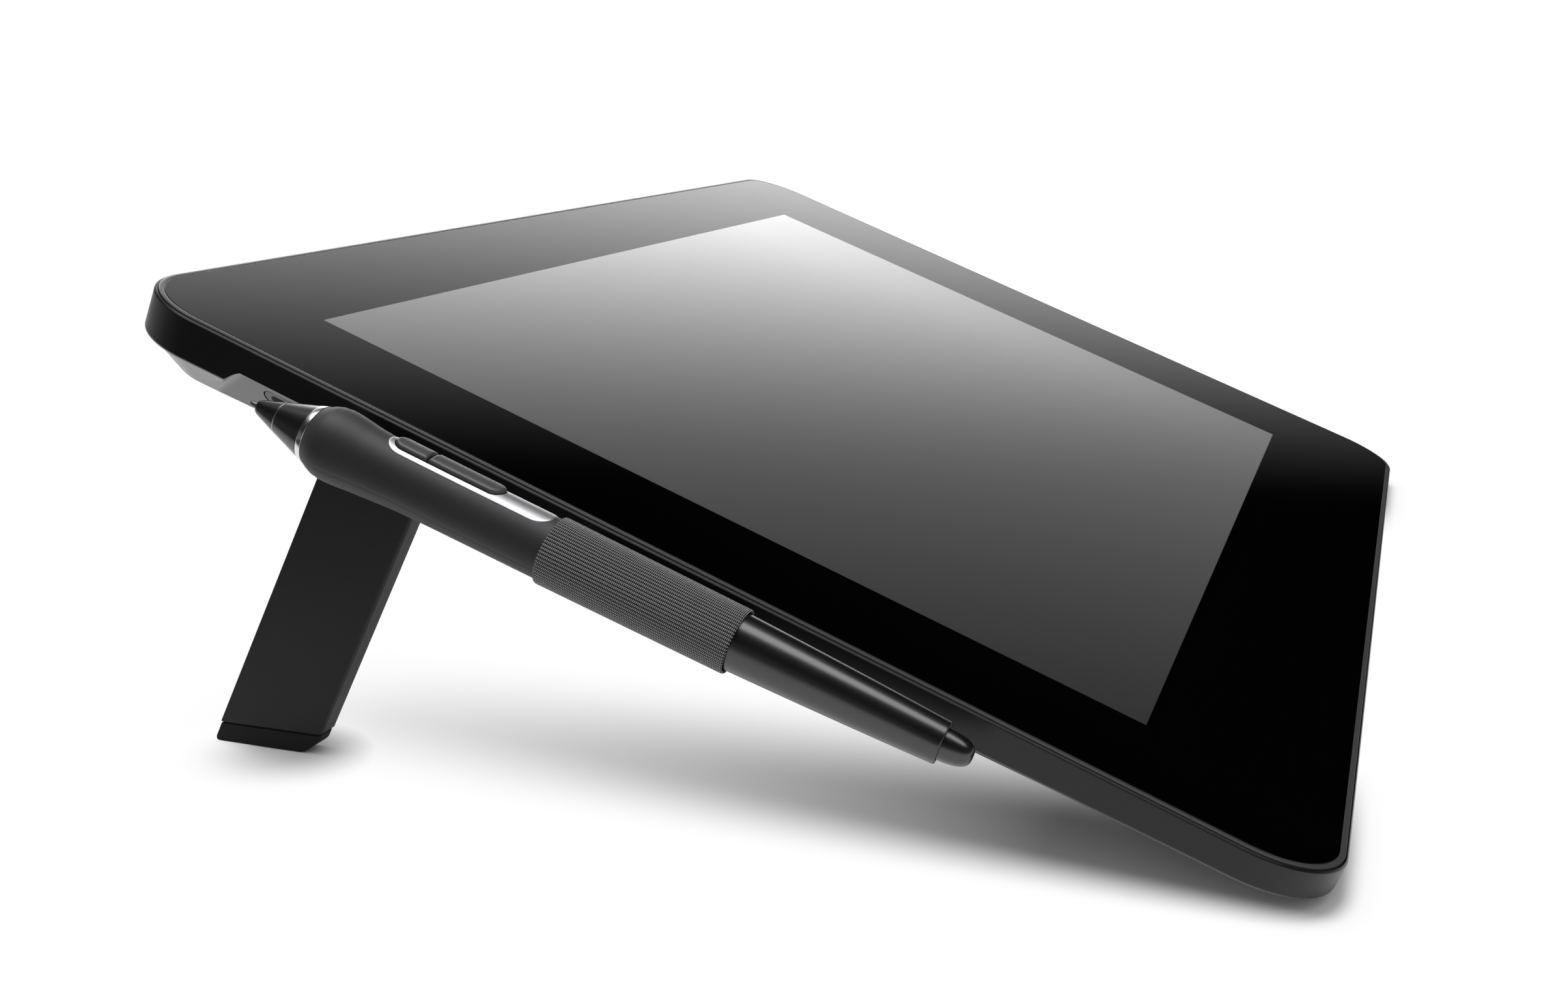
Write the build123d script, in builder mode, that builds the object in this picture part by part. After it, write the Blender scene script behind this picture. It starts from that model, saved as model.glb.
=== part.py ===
from build123d import *
import os
from math import cos, hypot, radians, sin, tan

os.makedirs("parts", exist_ok=True)

# Graphics tablet with screen, standing on two fold-out legs, with its pen in an elastic loop.
# Everything is laid out on the glass: u runs along the long side (the pen side is negative),
# v runs up the slope towards the raised edge, and w stands out of the glass.
# The floor is the XY plane, the raised edge is at +Y and the user sits at -Y.

# Driving dimensions: the casing
glass_tilt_deg = 21.0
casing_length = 422.0
casing_width = 285.0
corner_radius = 20.0
wall = 2.0
lip = 0.75
lip_drop = 0.45
lip_chamfer = 0.4
side_depth = 8.7
side_wedge_deg = 0.63
haunch_inset = 10.0
haunch_depth = 14.0
haunch_wedge_deg = 1.5
back_inset = 24.0
back_depth = 18.9
back_wedge_deg = 2.0
skirt_step = 0.35
skirt_overlap = 1.0
cut_overrun = 5.0
touch_gap = 0.1
running_gap = 0.06

# Driving dimensions: glass and its ring
glass_inset = 2.1
glass_thickness = 1.2
glass_bevel = 0.15
rim_gap = 0.15
rim_drop = 0.1
rim_thickness = 2.0
rim_round = 0.4
rim_post_radius = 3.0

# Driving dimensions: display stack
border_pen_side = 34.7
border_far_side = 55.3
border_low = 45.9
border_raised = 31.5
panel_border = 4.0
panel_thickness = 1.6
guide_border = 2.0
guide_thickness = 2.0
tray_clearance = 0.7
tray_wall = 0.8
lamp_strip_thickness = 1.4
opening_clearance = 0.5
sensor_thickness = 1.0
shield_thickness = 0.6
shield_margin_u = 12.0
shield_margin_v = 15.5
shield_screw_radius = 1.0
shield_screw_head_radius = 1.9
shield_screw_head = 1.2
shield_screw_bite = 3.0
shield_screw_edge = 4.5

# Driving dimensions: boards and sockets
standoff_radius = 3.0
cover_standoff = 3.2
board_standoff = 2.2
board_length = 130.0
board_width = 74.0
board_thickness = 1.6
board_edge_inset = 8.5
board_screw_inset = 5.0
board_screw_radius = 1.1
board_screw_head_radius = 2.2
board_screw_head = 1.2
chip_height = 1.4
chip_large = 22.0
chip_medium = 14.0
chip_small = 8.0
socket_length = 24.0
socket_height = 5.0
socket_wall = 0.6
socket_reach = 12.4
socket_flush = 0.4
tongue_length = 16.0
tongue_height = 1.0
tongue_reach = 5.0
button_corner_inset = 17.0
button_length = 12.0
button_height = 3.0
button_stem = 6.0
button_flange = 1.2
button_travel = 0.4
button_proud = 0.5
switch_size = 5.0
light_pipe_spacing = 12.0
light_pipe_radius = 1.0

# Driving dimensions: screws in the back
screw_radius = 1.4
screw_head_radius = 2.7
screw_head = 1.8
screw_seat = 2.2
screw_bite = 2.6
boss_radius = 4.6
screw_low_inset = 54.5
screw_raised_inset = 34.5
screw_side_inset = 39.0
screw_board_gap = 21.0
screw_mid_drop = 10.0

# Driving dimensions: legs
leg_side_inset = 14.0
leg_thickness = 6.5
leg_width = 24.7
leg_root_inset = 65.3
leg_lean_deg = 6.65
leg_pin_inset = 4.5
leg_head = 3.2
leg_recess = 0.4
leg_pin_radius = 1.5
leg_pin_grip = 3.5
leg_end_gap = 0.4
leg_foot_height = 5.0
leg_foot_round = 2.2
leg_foot_inset = 0.25
pocket_side_gap = 0.5
pocket_wall = 4.5
pocket_roof = 1.5
pocket_length = 84.0
scoop_radius = 9.0

# Driving dimensions: rubber feet
floor_gap = 3.1
low_foot_length = 70.0
low_foot_width = 10.0
low_foot_side_inset = 91.0
low_foot_inset = 29.3
high_foot_length = 34.0
high_foot_width = 8.0
high_foot_height = 1.5
high_foot_u = 38.0
high_foot_inset = 32.5
foot_round = 2.0

# Driving dimensions: recess in the near side and its lock slot
recess_roof_w = -6.4
recess_roof_width = 0.7
recess_face_u = 11.5
recess_face_w = -18.5
recess_inset = 30.6
recess_high_w = -10.2
recess_end_run = 1.057
recess_length = 65.9
recess_wall = 2.2
lock_inset = 45.0
lock_length = 11.0
lock_height = 5.6
lock_slot_length = 7.0
lock_slot_height = 3.0
lock_drop_share = 0.3
lock_depth = 2.2

# Driving dimensions: pen and its place
pen_side_gap = 11.5
pen_tip_inset = 45.9
pen_tip_w = -6.1
pen_pitch_deg = 0.76
nib_radius = 1.0
nib_reach = 1.9
nib_length = 24.0
nib_travel = 0.5
cone_nose_radius = 1.5
cone_seam_s = 8.0
cone_seam_radius = 3.65
cone_end_s = 15.6
cone_end_radius = 6.35
ring_end_s = 17.0
ring_end_radius = 6.65
grip_shoulder_s = 21.0
grip_shoulder_radius = 7.9
grip_crown_s = 25.0
grip_crown_radius = 7.7
grip_waist_s = 36.0
grip_waist_radius = 6.8
grip_end_s = 94.0
grip_end_radius = 6.5
barrel_mid_s = 130.0
barrel_mid_radius = 5.75
barrel_end_s = 160.2
barrel_end_radius = 4.4
barrel_round = 0.5
barrel_bore_radius = 3.3
barrel_end_wall = 3.0
grip_bore_radius = 4.2
grip_front_wall = 3.0
spigot_length = 6.0
spigot_radius = 5.4
eraser_radius = 3.4
eraser_end_s = 166.4
eraser_shoulder_s = 164.2
eraser_shoulder_share = 0.78
eraser_stem_radius = 2.2
eraser_stem_length = 8.0
eraser_travel = 0.5
eraser_seat = 2.0
plate_front_s = 32.7
plate_end_s = 72.0
plate_width = 7.4
plate_depth = 1.3
plate_proud = 0.06
button_front_s = 34.3
button_split_s = 42.9
button_rear_s = 59.9
button_split = 0.35
pen_button_width = 4.8
pen_button_proud = 0.9
pen_button_gap = 0.25
pen_button_travel = 0.4
pen_button_root = 0.7
coil_start_s = 10.0
coil_length = 9.0
coil_radius = 2.6
coil_bore_gap = 0.25
force_sensor_length = 5.0
pen_board_width = 6.0
pen_board_thickness = 1.0
pen_board_end_s = 146.0

# Driving dimensions: elastic loop
loop_front_s = 73.1
loop_end_s = 115.7
loop_band = 0.75
loop_gap = 0.12
loop_neck = 2.4
anchor_length = 38.0
anchor_height = 3.0
anchor_proud = 0.3
anchor_flange = 1.2

# Frames: the glass, the tilted planes under it, and the floor
tilt = radians(glass_tilt_deg)
half_length = casing_length / 2
half_width = casing_width / 2
pen_u = half_length + pen_side_gap
pen_tip_v = half_width - pen_tip_inset
leg_face_u = half_length - leg_side_inset
leg_root_v = half_width - leg_root_inset
recess_high_v = half_width - recess_inset
recess_low_v = recess_high_v - recess_length
low_back_v = -(half_width - back_inset)
back_drop = tan(radians(back_wedge_deg))
low_back_w = -back_depth - low_back_v * back_drop
deck_rise = floor_gap - (low_back_v * sin(tilt) + low_back_w * cos(tilt))
side_drop = tan(radians(side_wedge_deg))
raised_side_w = -side_depth - half_width * side_drop
pen_overhang = pen_u + grip_shoulder_radius - half_length
deck_shift_x = pen_overhang / 2
front_y = -half_width * cos(tilt) + lip_drop * sin(tilt)
rear_y = half_width * cos(tilt) - raised_side_w * sin(tilt)
deck_shift_y = -(front_y + rear_y) / 2
deck = Plane(
    origin=(deck_shift_x, deck_shift_y, deck_rise),
    x_dir=(1, 0, 0),
    z_dir=(0, -sin(tilt), cos(tilt)),
)


def spot(u, v, w):
    """A point given on the glass, in the world."""
    return deck.from_local_coords(Vector(u, v, w))


def sloped(depth, wedge_deg):
    """A plane under the glass that falls away from it towards the raised edge."""
    lean = radians(glass_tilt_deg - wedge_deg)
    return Plane(origin=spot(0, 0, -depth), x_dir=(1, 0, 0), z_dir=(0, -sin(lean), cos(lean)))


def along(u):
    """The plane across the long side at u, with v to the right and w up."""
    return Plane(origin=spot(u, 0, 0), x_dir=deck.y_dir, z_dir=deck.x_dir)


def across(v):
    """The plane across the slope at v, with u to the right and w up."""
    return Plane(origin=spot(0, v, 0), x_dir=deck.x_dir, z_dir=-deck.y_dir)


back = sloped(back_depth, back_wedge_deg)
side_foot = sloped(side_depth, side_wedge_deg)
haunch = sloped(haunch_depth, haunch_wedge_deg)


def rounded(inset):
    """The casing's outline, drawn in by inset."""
    return RectangleRounded(
        casing_length - 2 * inset, casing_width - 2 * inset, corner_radius - min(inset, corner_radius / 2)
    )


def casing_form(inset, lift):
    """The casing's outer shape, or with a wall's inset and lift the hollow inside it."""
    with BuildPart() as upright:
        with BuildSketch(deck.offset(-lip_drop + lift * 2)):
            rounded(inset)
        extrude(amount=-(side_depth + lift * 2 + cut_overrun))
        split(bisect_by=side_foot.offset(lift), keep=Keep.TOP)
        if not inset:
            chamfer(upright.faces().sort_by(Axis(deck.origin, deck.z_dir))[-1].edges(), lip_chamfer)
    with BuildPart() as form:
        with BuildSketch(side_foot.offset(skirt_overlap + lift)):
            rounded(inset + skirt_step)
        with BuildSketch(haunch.offset(lift)):
            rounded(haunch_inset + inset / 2)
        with BuildSketch(back.offset(lift)):
            rounded(back_inset + inset / 4)
        loft(ruled=True)
        add(upright.part)
    return form.part


outer_form = casing_form(0, 0)
inner_form = casing_form(wall, wall)

# Heights of the display stack, downwards from the glass
glass_back = -glass_thickness
rim_back = glass_back - rim_thickness
panel_back = glass_back - panel_thickness
guide_back = panel_back - guide_thickness
tray_back = guide_back - tray_wall
sensor_back = tray_back - sensor_thickness
shield_back = sensor_back - shield_thickness
standoff_end = shield_back - cover_standoff
screw_seat_w = standoff_end - screw_seat
board_top = shield_back - board_standoff
board_back = board_top - board_thickness

screen_length = casing_length - border_pen_side - border_far_side
screen_width = casing_width - border_low - border_raised
screen_offset_u = (border_pen_side - border_far_side) / 2
screen_offset_v = (border_low - border_raised) / 2
panel_length = screen_length + 2 * panel_border
panel_width = screen_width + 2 * panel_border
tray_length = panel_length + 2 * (tray_clearance + tray_wall)
tray_width = panel_width + 2 * (tray_clearance + tray_wall)
opening_length = tray_length + 2 * opening_clearance
opening_width = tray_width + 2 * opening_clearance
shield_length = casing_length - 2 * shield_margin_u
shield_width = casing_width - 2 * shield_margin_v
stack_centre = Location((screen_offset_u, screen_offset_v))

# Where the screws stand
shield_screw_u = shield_length / 2 - shield_screw_edge
shield_screw_v = shield_width / 2 - shield_screw_edge
shield_screw_spots = [
    (side * shield_screw_u, end * shield_screw_v) for side in (-1, 1) for end in (-1, 1)
] + [(0, end * shield_screw_v) for end in (-1, 1)]
screw_outer_u = half_length - screw_side_inset
screw_low_v = screw_low_inset - half_width
cover_screw_spots = [
    (side * u, v)
    for side in (-1, 1)
    for u, v in (
        (screw_outer_u, screw_low_v),
        (board_length / 2 + screw_board_gap, half_width - screw_raised_inset),
        (screw_outer_u, -screw_mid_drop),
    )
] + [(0, screw_low_v)]
board_centre_v = half_width - board_edge_inset - board_width / 2
board_screw_u = board_length / 2 - board_screw_inset
board_screw_v = board_width / 2 - board_screw_inset
board_screw_spots = [
    (side * board_screw_u, board_centre_v + end * board_screw_v)
    for side in (-1, 1)
    for end in (-1, 1)
]

# Front: glass and the ring that carries it
with BuildPart() as glass_cover:
    with BuildSketch(deck):
        rounded(glass_inset)
    extrude(amount=-glass_thickness)
    chamfer(glass_cover.faces().sort_by(Axis(deck.origin, deck.z_dir))[-1].edges(), glass_bevel)

with BuildPart() as front_rim:
    with BuildSketch(deck.offset(-rim_drop)):
        rounded(lip + touch_gap)
    extrude(amount=rim_back + rim_drop)
    with BuildSketch(deck.offset(-rim_drop)):
        rounded(glass_inset - rim_gap)
    extrude(amount=glass_back + rim_drop, mode=Mode.SUBTRACT)
    with BuildSketch(deck.offset(glass_back)):
        with Locations(stack_centre):
            Rectangle(opening_length, opening_width)
    extrude(amount=-rim_thickness, mode=Mode.SUBTRACT)
    rim_top = front_rim.faces().sort_by(Axis(deck.origin, deck.z_dir))[-1]
    fillet(rim_top.edges(), rim_round)
    with BuildSketch(deck.offset(rim_back)):
        with Locations(*shield_screw_spots):
            Circle(rim_post_radius)
    extrude(amount=sensor_back - rim_back)
    with BuildSketch(deck.offset(sensor_back)):
        with Locations(*shield_screw_spots):
            Circle(shield_screw_radius)
    extrude(amount=shield_screw_bite, mode=Mode.SUBTRACT)

# Display stack
with BuildPart() as lcd_panel:
    with BuildSketch(deck.offset(glass_back)):
        with Locations(stack_centre):
            Rectangle(panel_length, panel_width)
    extrude(amount=-panel_thickness)

guide_length = panel_length - 2 * guide_border
guide_width = panel_width - 2 * guide_border
with BuildPart() as light_guide:
    with BuildSketch(deck.offset(panel_back)):
        with Locations(stack_centre):
            Rectangle(guide_length, guide_width)
    extrude(amount=-guide_thickness)

lamp_v = screen_offset_v - panel_width / 2 - tray_clearance + lamp_strip_thickness / 2
with BuildPart() as lamp_strip:
    with BuildSketch(deck.offset(panel_back)):
        with Locations((screen_offset_u, lamp_v)):
            Rectangle(guide_length, lamp_strip_thickness)
    extrude(amount=-guide_thickness)

with BuildPart() as backlight_tray:
    with BuildSketch(deck.offset(glass_back - touch_gap)):
        with Locations(stack_centre):
            Rectangle(tray_length, tray_width)
    extrude(amount=tray_back - glass_back + touch_gap)
    with BuildSketch(deck.offset(glass_back - touch_gap)):
        with Locations(stack_centre):
            Rectangle(panel_length + 2 * tray_clearance, panel_width + 2 * tray_clearance)
    extrude(amount=guide_back - glass_back + touch_gap, mode=Mode.SUBTRACT)

with BuildPart() as sensor_board:
    with BuildSketch(deck.offset(tray_back)):
        with Locations(stack_centre):
            Rectangle(panel_length, panel_width)
    extrude(amount=-sensor_thickness)

with BuildPart() as shield_plate:
    with BuildSketch(deck.offset(sensor_back)):
        RectangleRounded(shield_length, shield_width, corner_radius / 2)
        with Locations(*shield_screw_spots):
            Circle(shield_screw_radius, mode=Mode.SUBTRACT)
    extrude(amount=-shield_thickness)
    with BuildSketch(deck.offset(shield_back)):
        with Locations(*cover_screw_spots):
            Circle(standoff_radius)
            Circle(screw_radius, mode=Mode.SUBTRACT)
    extrude(amount=-cover_standoff)
    with BuildSketch(deck.offset(shield_back)):
        with Locations(*board_screw_spots):
            Circle(standoff_radius)
            Circle(board_screw_radius, mode=Mode.SUBTRACT)
    extrude(amount=-board_standoff)

with BuildPart() as shield_screws:
    with BuildSketch(deck.offset(shield_back)):
        with Locations(*shield_screw_spots):
            Circle(shield_screw_head_radius)
    extrude(amount=-shield_screw_head)
    with BuildSketch(deck.offset(shield_back)):
        with Locations(*shield_screw_spots):
            Circle(shield_screw_radius)
    extrude(amount=shield_thickness + shield_screw_bite)

# Main board, its parts and the cable socket
with BuildPart() as main_board:
    with BuildSketch(deck.offset(board_top)):
        with Locations((0, board_centre_v)):
            Rectangle(board_length, board_width)
        with Locations(*board_screw_spots):
            Circle(board_screw_radius, mode=Mode.SUBTRACT)
    extrude(amount=-board_thickness)

chip_shares = (
    (-0.24, -0.1, chip_large),
    (0.12, 0.12, chip_medium),
    (0.3, -0.18, chip_medium),
    (0.02, -0.3, chip_small),
)
with BuildPart() as board_chips:
    for u_share, v_share, size in chip_shares:
        with BuildSketch(deck.offset(board_back)):
            with Locations((u_share * board_length, board_centre_v + v_share * board_width)):
                Rectangle(size, size)
        extrude(amount=-chip_height)

with BuildPart() as board_screws:
    with BuildSketch(deck.offset(board_back)):
        with Locations(*board_screw_spots):
            Circle(board_screw_head_radius)
    extrude(amount=-board_screw_head)
    with BuildSketch(deck.offset(board_back)):
        with Locations(*board_screw_spots):
            Circle(board_screw_radius)
    extrude(amount=board_thickness + board_standoff)

socket_w = board_top + socket_height / 2
socket_face_v = half_width - socket_flush
socket_face = across(socket_face_v)
with BuildPart() as cable_socket:
    with BuildSketch(socket_face):
        with Locations((0, socket_w)):
            RectangleRounded(socket_length, socket_height, socket_height / 3)
    extrude(amount=socket_reach)
    with BuildSketch(socket_face):
        with Locations((0, socket_w)):
            RectangleRounded(
                socket_length - 2 * socket_wall,
                socket_height - 2 * socket_wall,
                socket_height / 3 - socket_wall,
            )
    extrude(amount=socket_reach - wall, mode=Mode.SUBTRACT)
    with BuildSketch(across(socket_face_v - socket_reach + wall)):
        with Locations((0, socket_w)):
            Rectangle(tongue_length, tongue_height)
    extrude(amount=-tongue_reach)

button_u = board_length / 2 - button_corner_inset
light_pipe_u = button_u + light_pipe_spacing
button_w = board_top + switch_size / 2
button_back_v = half_width - wall - touch_gap - button_travel - button_flange
with BuildPart() as power_button:
    with BuildSketch(across(half_width + button_proud)):
        with Locations((button_u, button_w)):
            SlotOverall(button_length, button_height)
    extrude(amount=button_proud + wall + touch_gap + button_travel)
    with BuildSketch(across(button_back_v + button_flange)):
        with Locations((button_u, button_w)):
            SlotOverall(button_length + 2 * button_flange, button_height + 2 * lip)
    extrude(amount=button_flange)

switch_front_v = button_back_v - button_travel - touch_gap
with BuildPart() as power_switch:
    with BuildSketch(across(switch_front_v)):
        with Locations((button_u, button_w)):
            Rectangle(switch_size, switch_size)
    extrude(amount=switch_size)

with BuildPart() as light_pipe:
    with BuildSketch(across(half_width)):
        with Locations((light_pipe_u, button_w)):
            Circle(light_pipe_radius)
    extrude(amount=wall + button_stem)
    with BuildSketch(across(half_width - wall - button_stem)):
        with Locations((light_pipe_u, board_top + switch_size / 2)):
            Rectangle(switch_size / 2, switch_size)
    extrude(amount=switch_size / 2)

# Legs, in the frame of the sloped back: a plate, a pin and a rubber end
leg_lean = tan(radians(leg_lean_deg))
pin_u = leg_face_u - leg_pin_inset
pin_w = leg_pin_inset + leg_recess
pin_sweep = hypot(leg_pin_inset, leg_head)
leg_bottom_w = -pocket_length - cut_overrun * 4


def leg_plane(u):
    """The plane of a leg's face, with the back's v to the right and its w up."""
    return Plane(origin=back.from_local_coords(Vector(u, 0, 0)), x_dir=back.y_dir, z_dir=back.x_dir)


def leg_centre_v(height):
    """The middle of the leg at a height over the back, on its leaning centre line."""
    return leg_root_v + (pin_w - height) * leg_lean


def leg_outline(inset):
    """The leg's leaning outline, from its head to below the floor."""
    half = leg_width / 2 - inset
    top = pin_w + leg_head
    return [
        (leg_centre_v(top) - half, top),
        (leg_centre_v(top) + half, top),
        (leg_centre_v(leg_bottom_w) + half, leg_bottom_w),
        (leg_centre_v(leg_bottom_w) - half, leg_bottom_w),
    ]


def leg_pin_axis(side):
    """The hinge axis of the leg on one side."""
    return Axis(back.from_local_coords(Vector(side * pin_u, 0, pin_w)), back.y_dir)


def pin_plane(v):
    """The plane across a hinge pin at v, with u to the right and w up."""
    return Plane(origin=back.from_local_coords(Vector(0, v, 0)), x_dir=back.x_dir, z_dir=-back.y_dir)


foot_top = Plane.XY.offset(leg_foot_height)
pin_half = leg_width / 2 + pocket_side_gap + leg_pin_grip
inner_face_u = leg_face_u - leg_thickness
legs = {}
for side, word in ((-1, "left"), (1, "right")):
    with BuildPart() as plate:
        with BuildSketch(leg_plane(side * inner_face_u)):
            Polygon(*leg_outline(0), align=None)
        extrude(amount=side * leg_thickness)
        split(bisect_by=foot_top, keep=Keep.TOP)
        slope_edges = plate.edges().filter_by(Axis(back.origin, back.y_dir))
        head_edges = slope_edges.group_by(Axis(back.origin, back.z_dir))[-1]
        inner_edge = head_edges.sort_by(Axis.X)[0 if side > 0 else -1]
        fillet(inner_edge, leg_thickness - leg_pin_inset)
        with BuildSketch(pin_plane(leg_root_v + pin_half)):
            with Locations((side * pin_u, pin_w)):
                Circle(leg_pin_radius + running_gap)
        extrude(amount=2 * pin_half, mode=Mode.SUBTRACT)
    with BuildPart() as foot:
        with BuildSketch(leg_plane(side * (inner_face_u + leg_foot_inset))):
            Polygon(*leg_outline(leg_foot_inset), align=None)
        extrude(amount=side * (leg_thickness - 2 * leg_foot_inset))
        split(bisect_by=foot_top, keep=Keep.BOTTOM)
        split(bisect_by=Plane.XY, keep=Keep.TOP)
        fillet(foot.edges().filter_by(Axis.X).group_by(Axis.Z)[0], leg_foot_round / 2)
    with BuildPart() as pin:
        with BuildSketch(pin_plane(leg_root_v + pin_half)):
            with Locations((side * pin_u, pin_w)):
                Circle(leg_pin_radius)
        extrude(amount=2 * pin_half)
    legs[word + "_leg"] = plate.part
    legs[word + "_leg_foot"] = foot.part
    legs[word + "_hinge_pin"] = pin.part

# Rear cover: shell, pockets, bosses and openings
pocket_start_u = pin_u + pin_sweep + leg_end_gap
pocket_end_u = pin_u - pocket_length
pocket_ceiling = pin_w + leg_head + running_gap


def pocket_outline(side, margin):
    """The leaning outline of a leg's pocket on the back, grown by margin."""
    half = leg_width / 2 + pocket_side_gap + margin
    start = pocket_start_u + margin
    end = pocket_end_u - margin
    start_v = leg_root_v + (pin_u - start) * leg_lean
    end_v = leg_root_v + (pin_u - end) * leg_lean
    return [
        (side * start, start_v - half),
        (side * start, start_v + half),
        (side * end, end_v + half),
        (side * end, end_v - half),
    ]


recess_face_top_u = half_length - recess_roof_width
recess_bottom_w = recess_face_w - cut_overrun * 2
recess_side = [
    (-(half_length + cut_overrun), recess_roof_w),
    (-recess_face_top_u, recess_roof_w),
    (-(half_length - recess_face_u), recess_face_w),
    (-(half_length - recess_face_u), recess_bottom_w),
    (-(half_length + cut_overrun), recess_bottom_w),
]
recess_top_v = recess_high_v - (recess_roof_w - recess_high_w) / recess_end_run
recess_deep_v = recess_high_v + (recess_high_w - recess_bottom_w) / recess_end_run
recess_front = [
    (recess_low_v, recess_roof_w),
    (recess_top_v, recess_roof_w),
    (recess_deep_v, recess_bottom_w),
    (recess_low_v - (recess_roof_w - recess_bottom_w) / recess_end_run, recess_bottom_w),
]


def recess_form(margin):
    """The scooped recess in the near side, or with a margin the block that backs it."""
    with BuildPart() as scoop:
        with BuildSketch(along(-(half_length + cut_overrun))):
            Polygon(*recess_front, align=None)
            if margin:
                offset(amount=margin)
        extrude(amount=recess_face_u + cut_overrun + margin)
        with BuildSketch(across(recess_deep_v + cut_overrun)):
            Polygon(*recess_side, align=None)
            if margin:
                offset(amount=margin)
        extrude(amount=recess_deep_v - recess_low_v + cut_overrun * 8, mode=Mode.INTERSECT)
    return scoop.part


recess_slope = Vector(recess_face_top_u - (half_length - recess_face_u), 0, recess_face_w - recess_roof_w)
recess_normal = Vector(recess_slope.Z, 0, -recess_slope.X)
recess_edge = Vector(-recess_face_top_u, half_width - lock_inset, recess_roof_w)
lock_place = recess_edge + recess_slope * lock_drop_share
lock_plane = Plane(
    origin=spot(lock_place.X, lock_place.Y, lock_place.Z),
    x_dir=deck.y_dir,
    z_dir=spot(recess_normal.X, 0, recess_normal.Z) - spot(0, 0, 0),
)

loop_mid_s = (loop_front_s + loop_end_s) / 2
pitch = radians(pen_pitch_deg)
loop_v = pen_tip_v - loop_mid_s * cos(pitch)
loop_w = pen_tip_w + loop_mid_s * sin(pitch)
anchor_plane = along(-half_length)

with BuildPart() as pocket_blocks:
    for side in (-1, 1):
        with BuildSketch(back.offset(-cut_overrun)):
            Polygon(*pocket_outline(side, pocket_wall), align=None)
        extrude(amount=pocket_ceiling + pocket_roof + cut_overrun)
    add(recess_form(recess_wall))
    add(outer_form, mode=Mode.INTERSECT)

with BuildPart() as boss_blocks:
    with BuildSketch(deck.offset(standoff_end)):
        with Locations(*cover_screw_spots):
            Circle(boss_radius)
    extrude(amount=-back_depth - cut_overrun)
    add(outer_form, mode=Mode.INTERSECT)

with BuildPart() as rear_cover:
    add(outer_form)
    add(inner_form, mode=Mode.SUBTRACT)
    with BuildSketch(deck.offset(rim_back)):
        rounded(lip)
    extrude(amount=-rim_back + cut_overrun, mode=Mode.SUBTRACT)
    add(pocket_blocks.part)
    add(boss_blocks.part)
    for side in (-1, 1):
        with BuildSketch(back.offset(-cut_overrun)):
            Polygon(*pocket_outline(side, 0), align=None)
        extrude(amount=pocket_ceiling + cut_overrun, mode=Mode.SUBTRACT)
        with BuildSketch(leg_plane(side * (inner_face_u - pocket_side_gap))):
            Polygon(*leg_outline(-pocket_side_gap), align=None)
        extrude(amount=side * (leg_thickness + 2 * pocket_side_gap), mode=Mode.SUBTRACT)
        with BuildSketch(back.offset(-cut_overrun)):
            with Locations((side * pocket_end_u, leg_root_v + pocket_length * leg_lean)):
                Circle(scoop_radius)
        extrude(amount=pin_w / 2 + cut_overrun, mode=Mode.SUBTRACT)
        with BuildSketch(pin_plane(leg_root_v + pin_half)):
            with Locations((side * pin_u, pin_w)):
                Circle(leg_pin_radius)
        extrude(amount=2 * pin_half, mode=Mode.SUBTRACT)
    add(recess_form(0), mode=Mode.SUBTRACT)
    with BuildSketch(lock_plane):
        SlotOverall(lock_length, lock_height)
    extrude(amount=-lock_depth, mode=Mode.SUBTRACT)
    with BuildSketch(deck.offset(standoff_end)):
        with Locations(*cover_screw_spots):
            Circle(screw_radius + touch_gap)
    extrude(amount=-screw_seat, mode=Mode.SUBTRACT)
    with BuildSketch(deck.offset(screw_seat_w)):
        with Locations(*cover_screw_spots):
            Circle(screw_head_radius + touch_gap)
    extrude(amount=-back_depth, mode=Mode.SUBTRACT)
    with BuildSketch(across(half_width + cut_overrun)):
        with Locations((button_u, button_w)):
            SlotOverall(button_length + 2 * touch_gap, button_height + 2 * touch_gap)
        with Locations((light_pipe_u, button_w)):
            Circle(light_pipe_radius)
    extrude(amount=cut_overrun + wall + touch_gap, mode=Mode.SUBTRACT)
    with BuildSketch(across(half_width + cut_overrun)):
        with Locations((0, socket_w)):
            RectangleRounded(
                socket_length + 2 * touch_gap, socket_height + 2 * touch_gap, socket_height / 3 + touch_gap
            )
    extrude(amount=cut_overrun + socket_reach, mode=Mode.SUBTRACT)
    with BuildSketch(across(half_width - wall)):
        with Locations((button_u, button_w)):
            Rectangle(button_length + 2 * button_flange + 2 * lip, switch_size + 2 * touch_gap)
        with Locations((light_pipe_u, button_w)):
            Rectangle(switch_size / 2 + 2 * touch_gap, switch_size + 2 * touch_gap)
    extrude(amount=switch_size + button_stem, mode=Mode.SUBTRACT)
    with BuildSketch(anchor_plane):
        with Locations((loop_v, loop_w)):
            SlotOverall(anchor_length, anchor_height)
    extrude(amount=wall + cut_overrun, both=True, mode=Mode.SUBTRACT)

with BuildPart() as cover_screws:
    with BuildSketch(deck.offset(screw_seat_w)):
        with Locations(*cover_screw_spots):
            Circle(screw_head_radius)
    extrude(amount=-screw_head)
    with BuildSketch(deck.offset(screw_seat_w)):
        with Locations(*cover_screw_spots):
            Circle(screw_radius)
    extrude(amount=screw_seat + screw_bite)

with BuildPart() as lock_slot:
    with BuildSketch(lock_plane):
        SlotOverall(lock_length, lock_height)
    extrude(amount=-lock_depth)
    with BuildSketch(lock_plane):
        SlotOverall(lock_slot_length, lock_slot_height)
    extrude(amount=-lock_depth / 2, mode=Mode.SUBTRACT)

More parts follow.
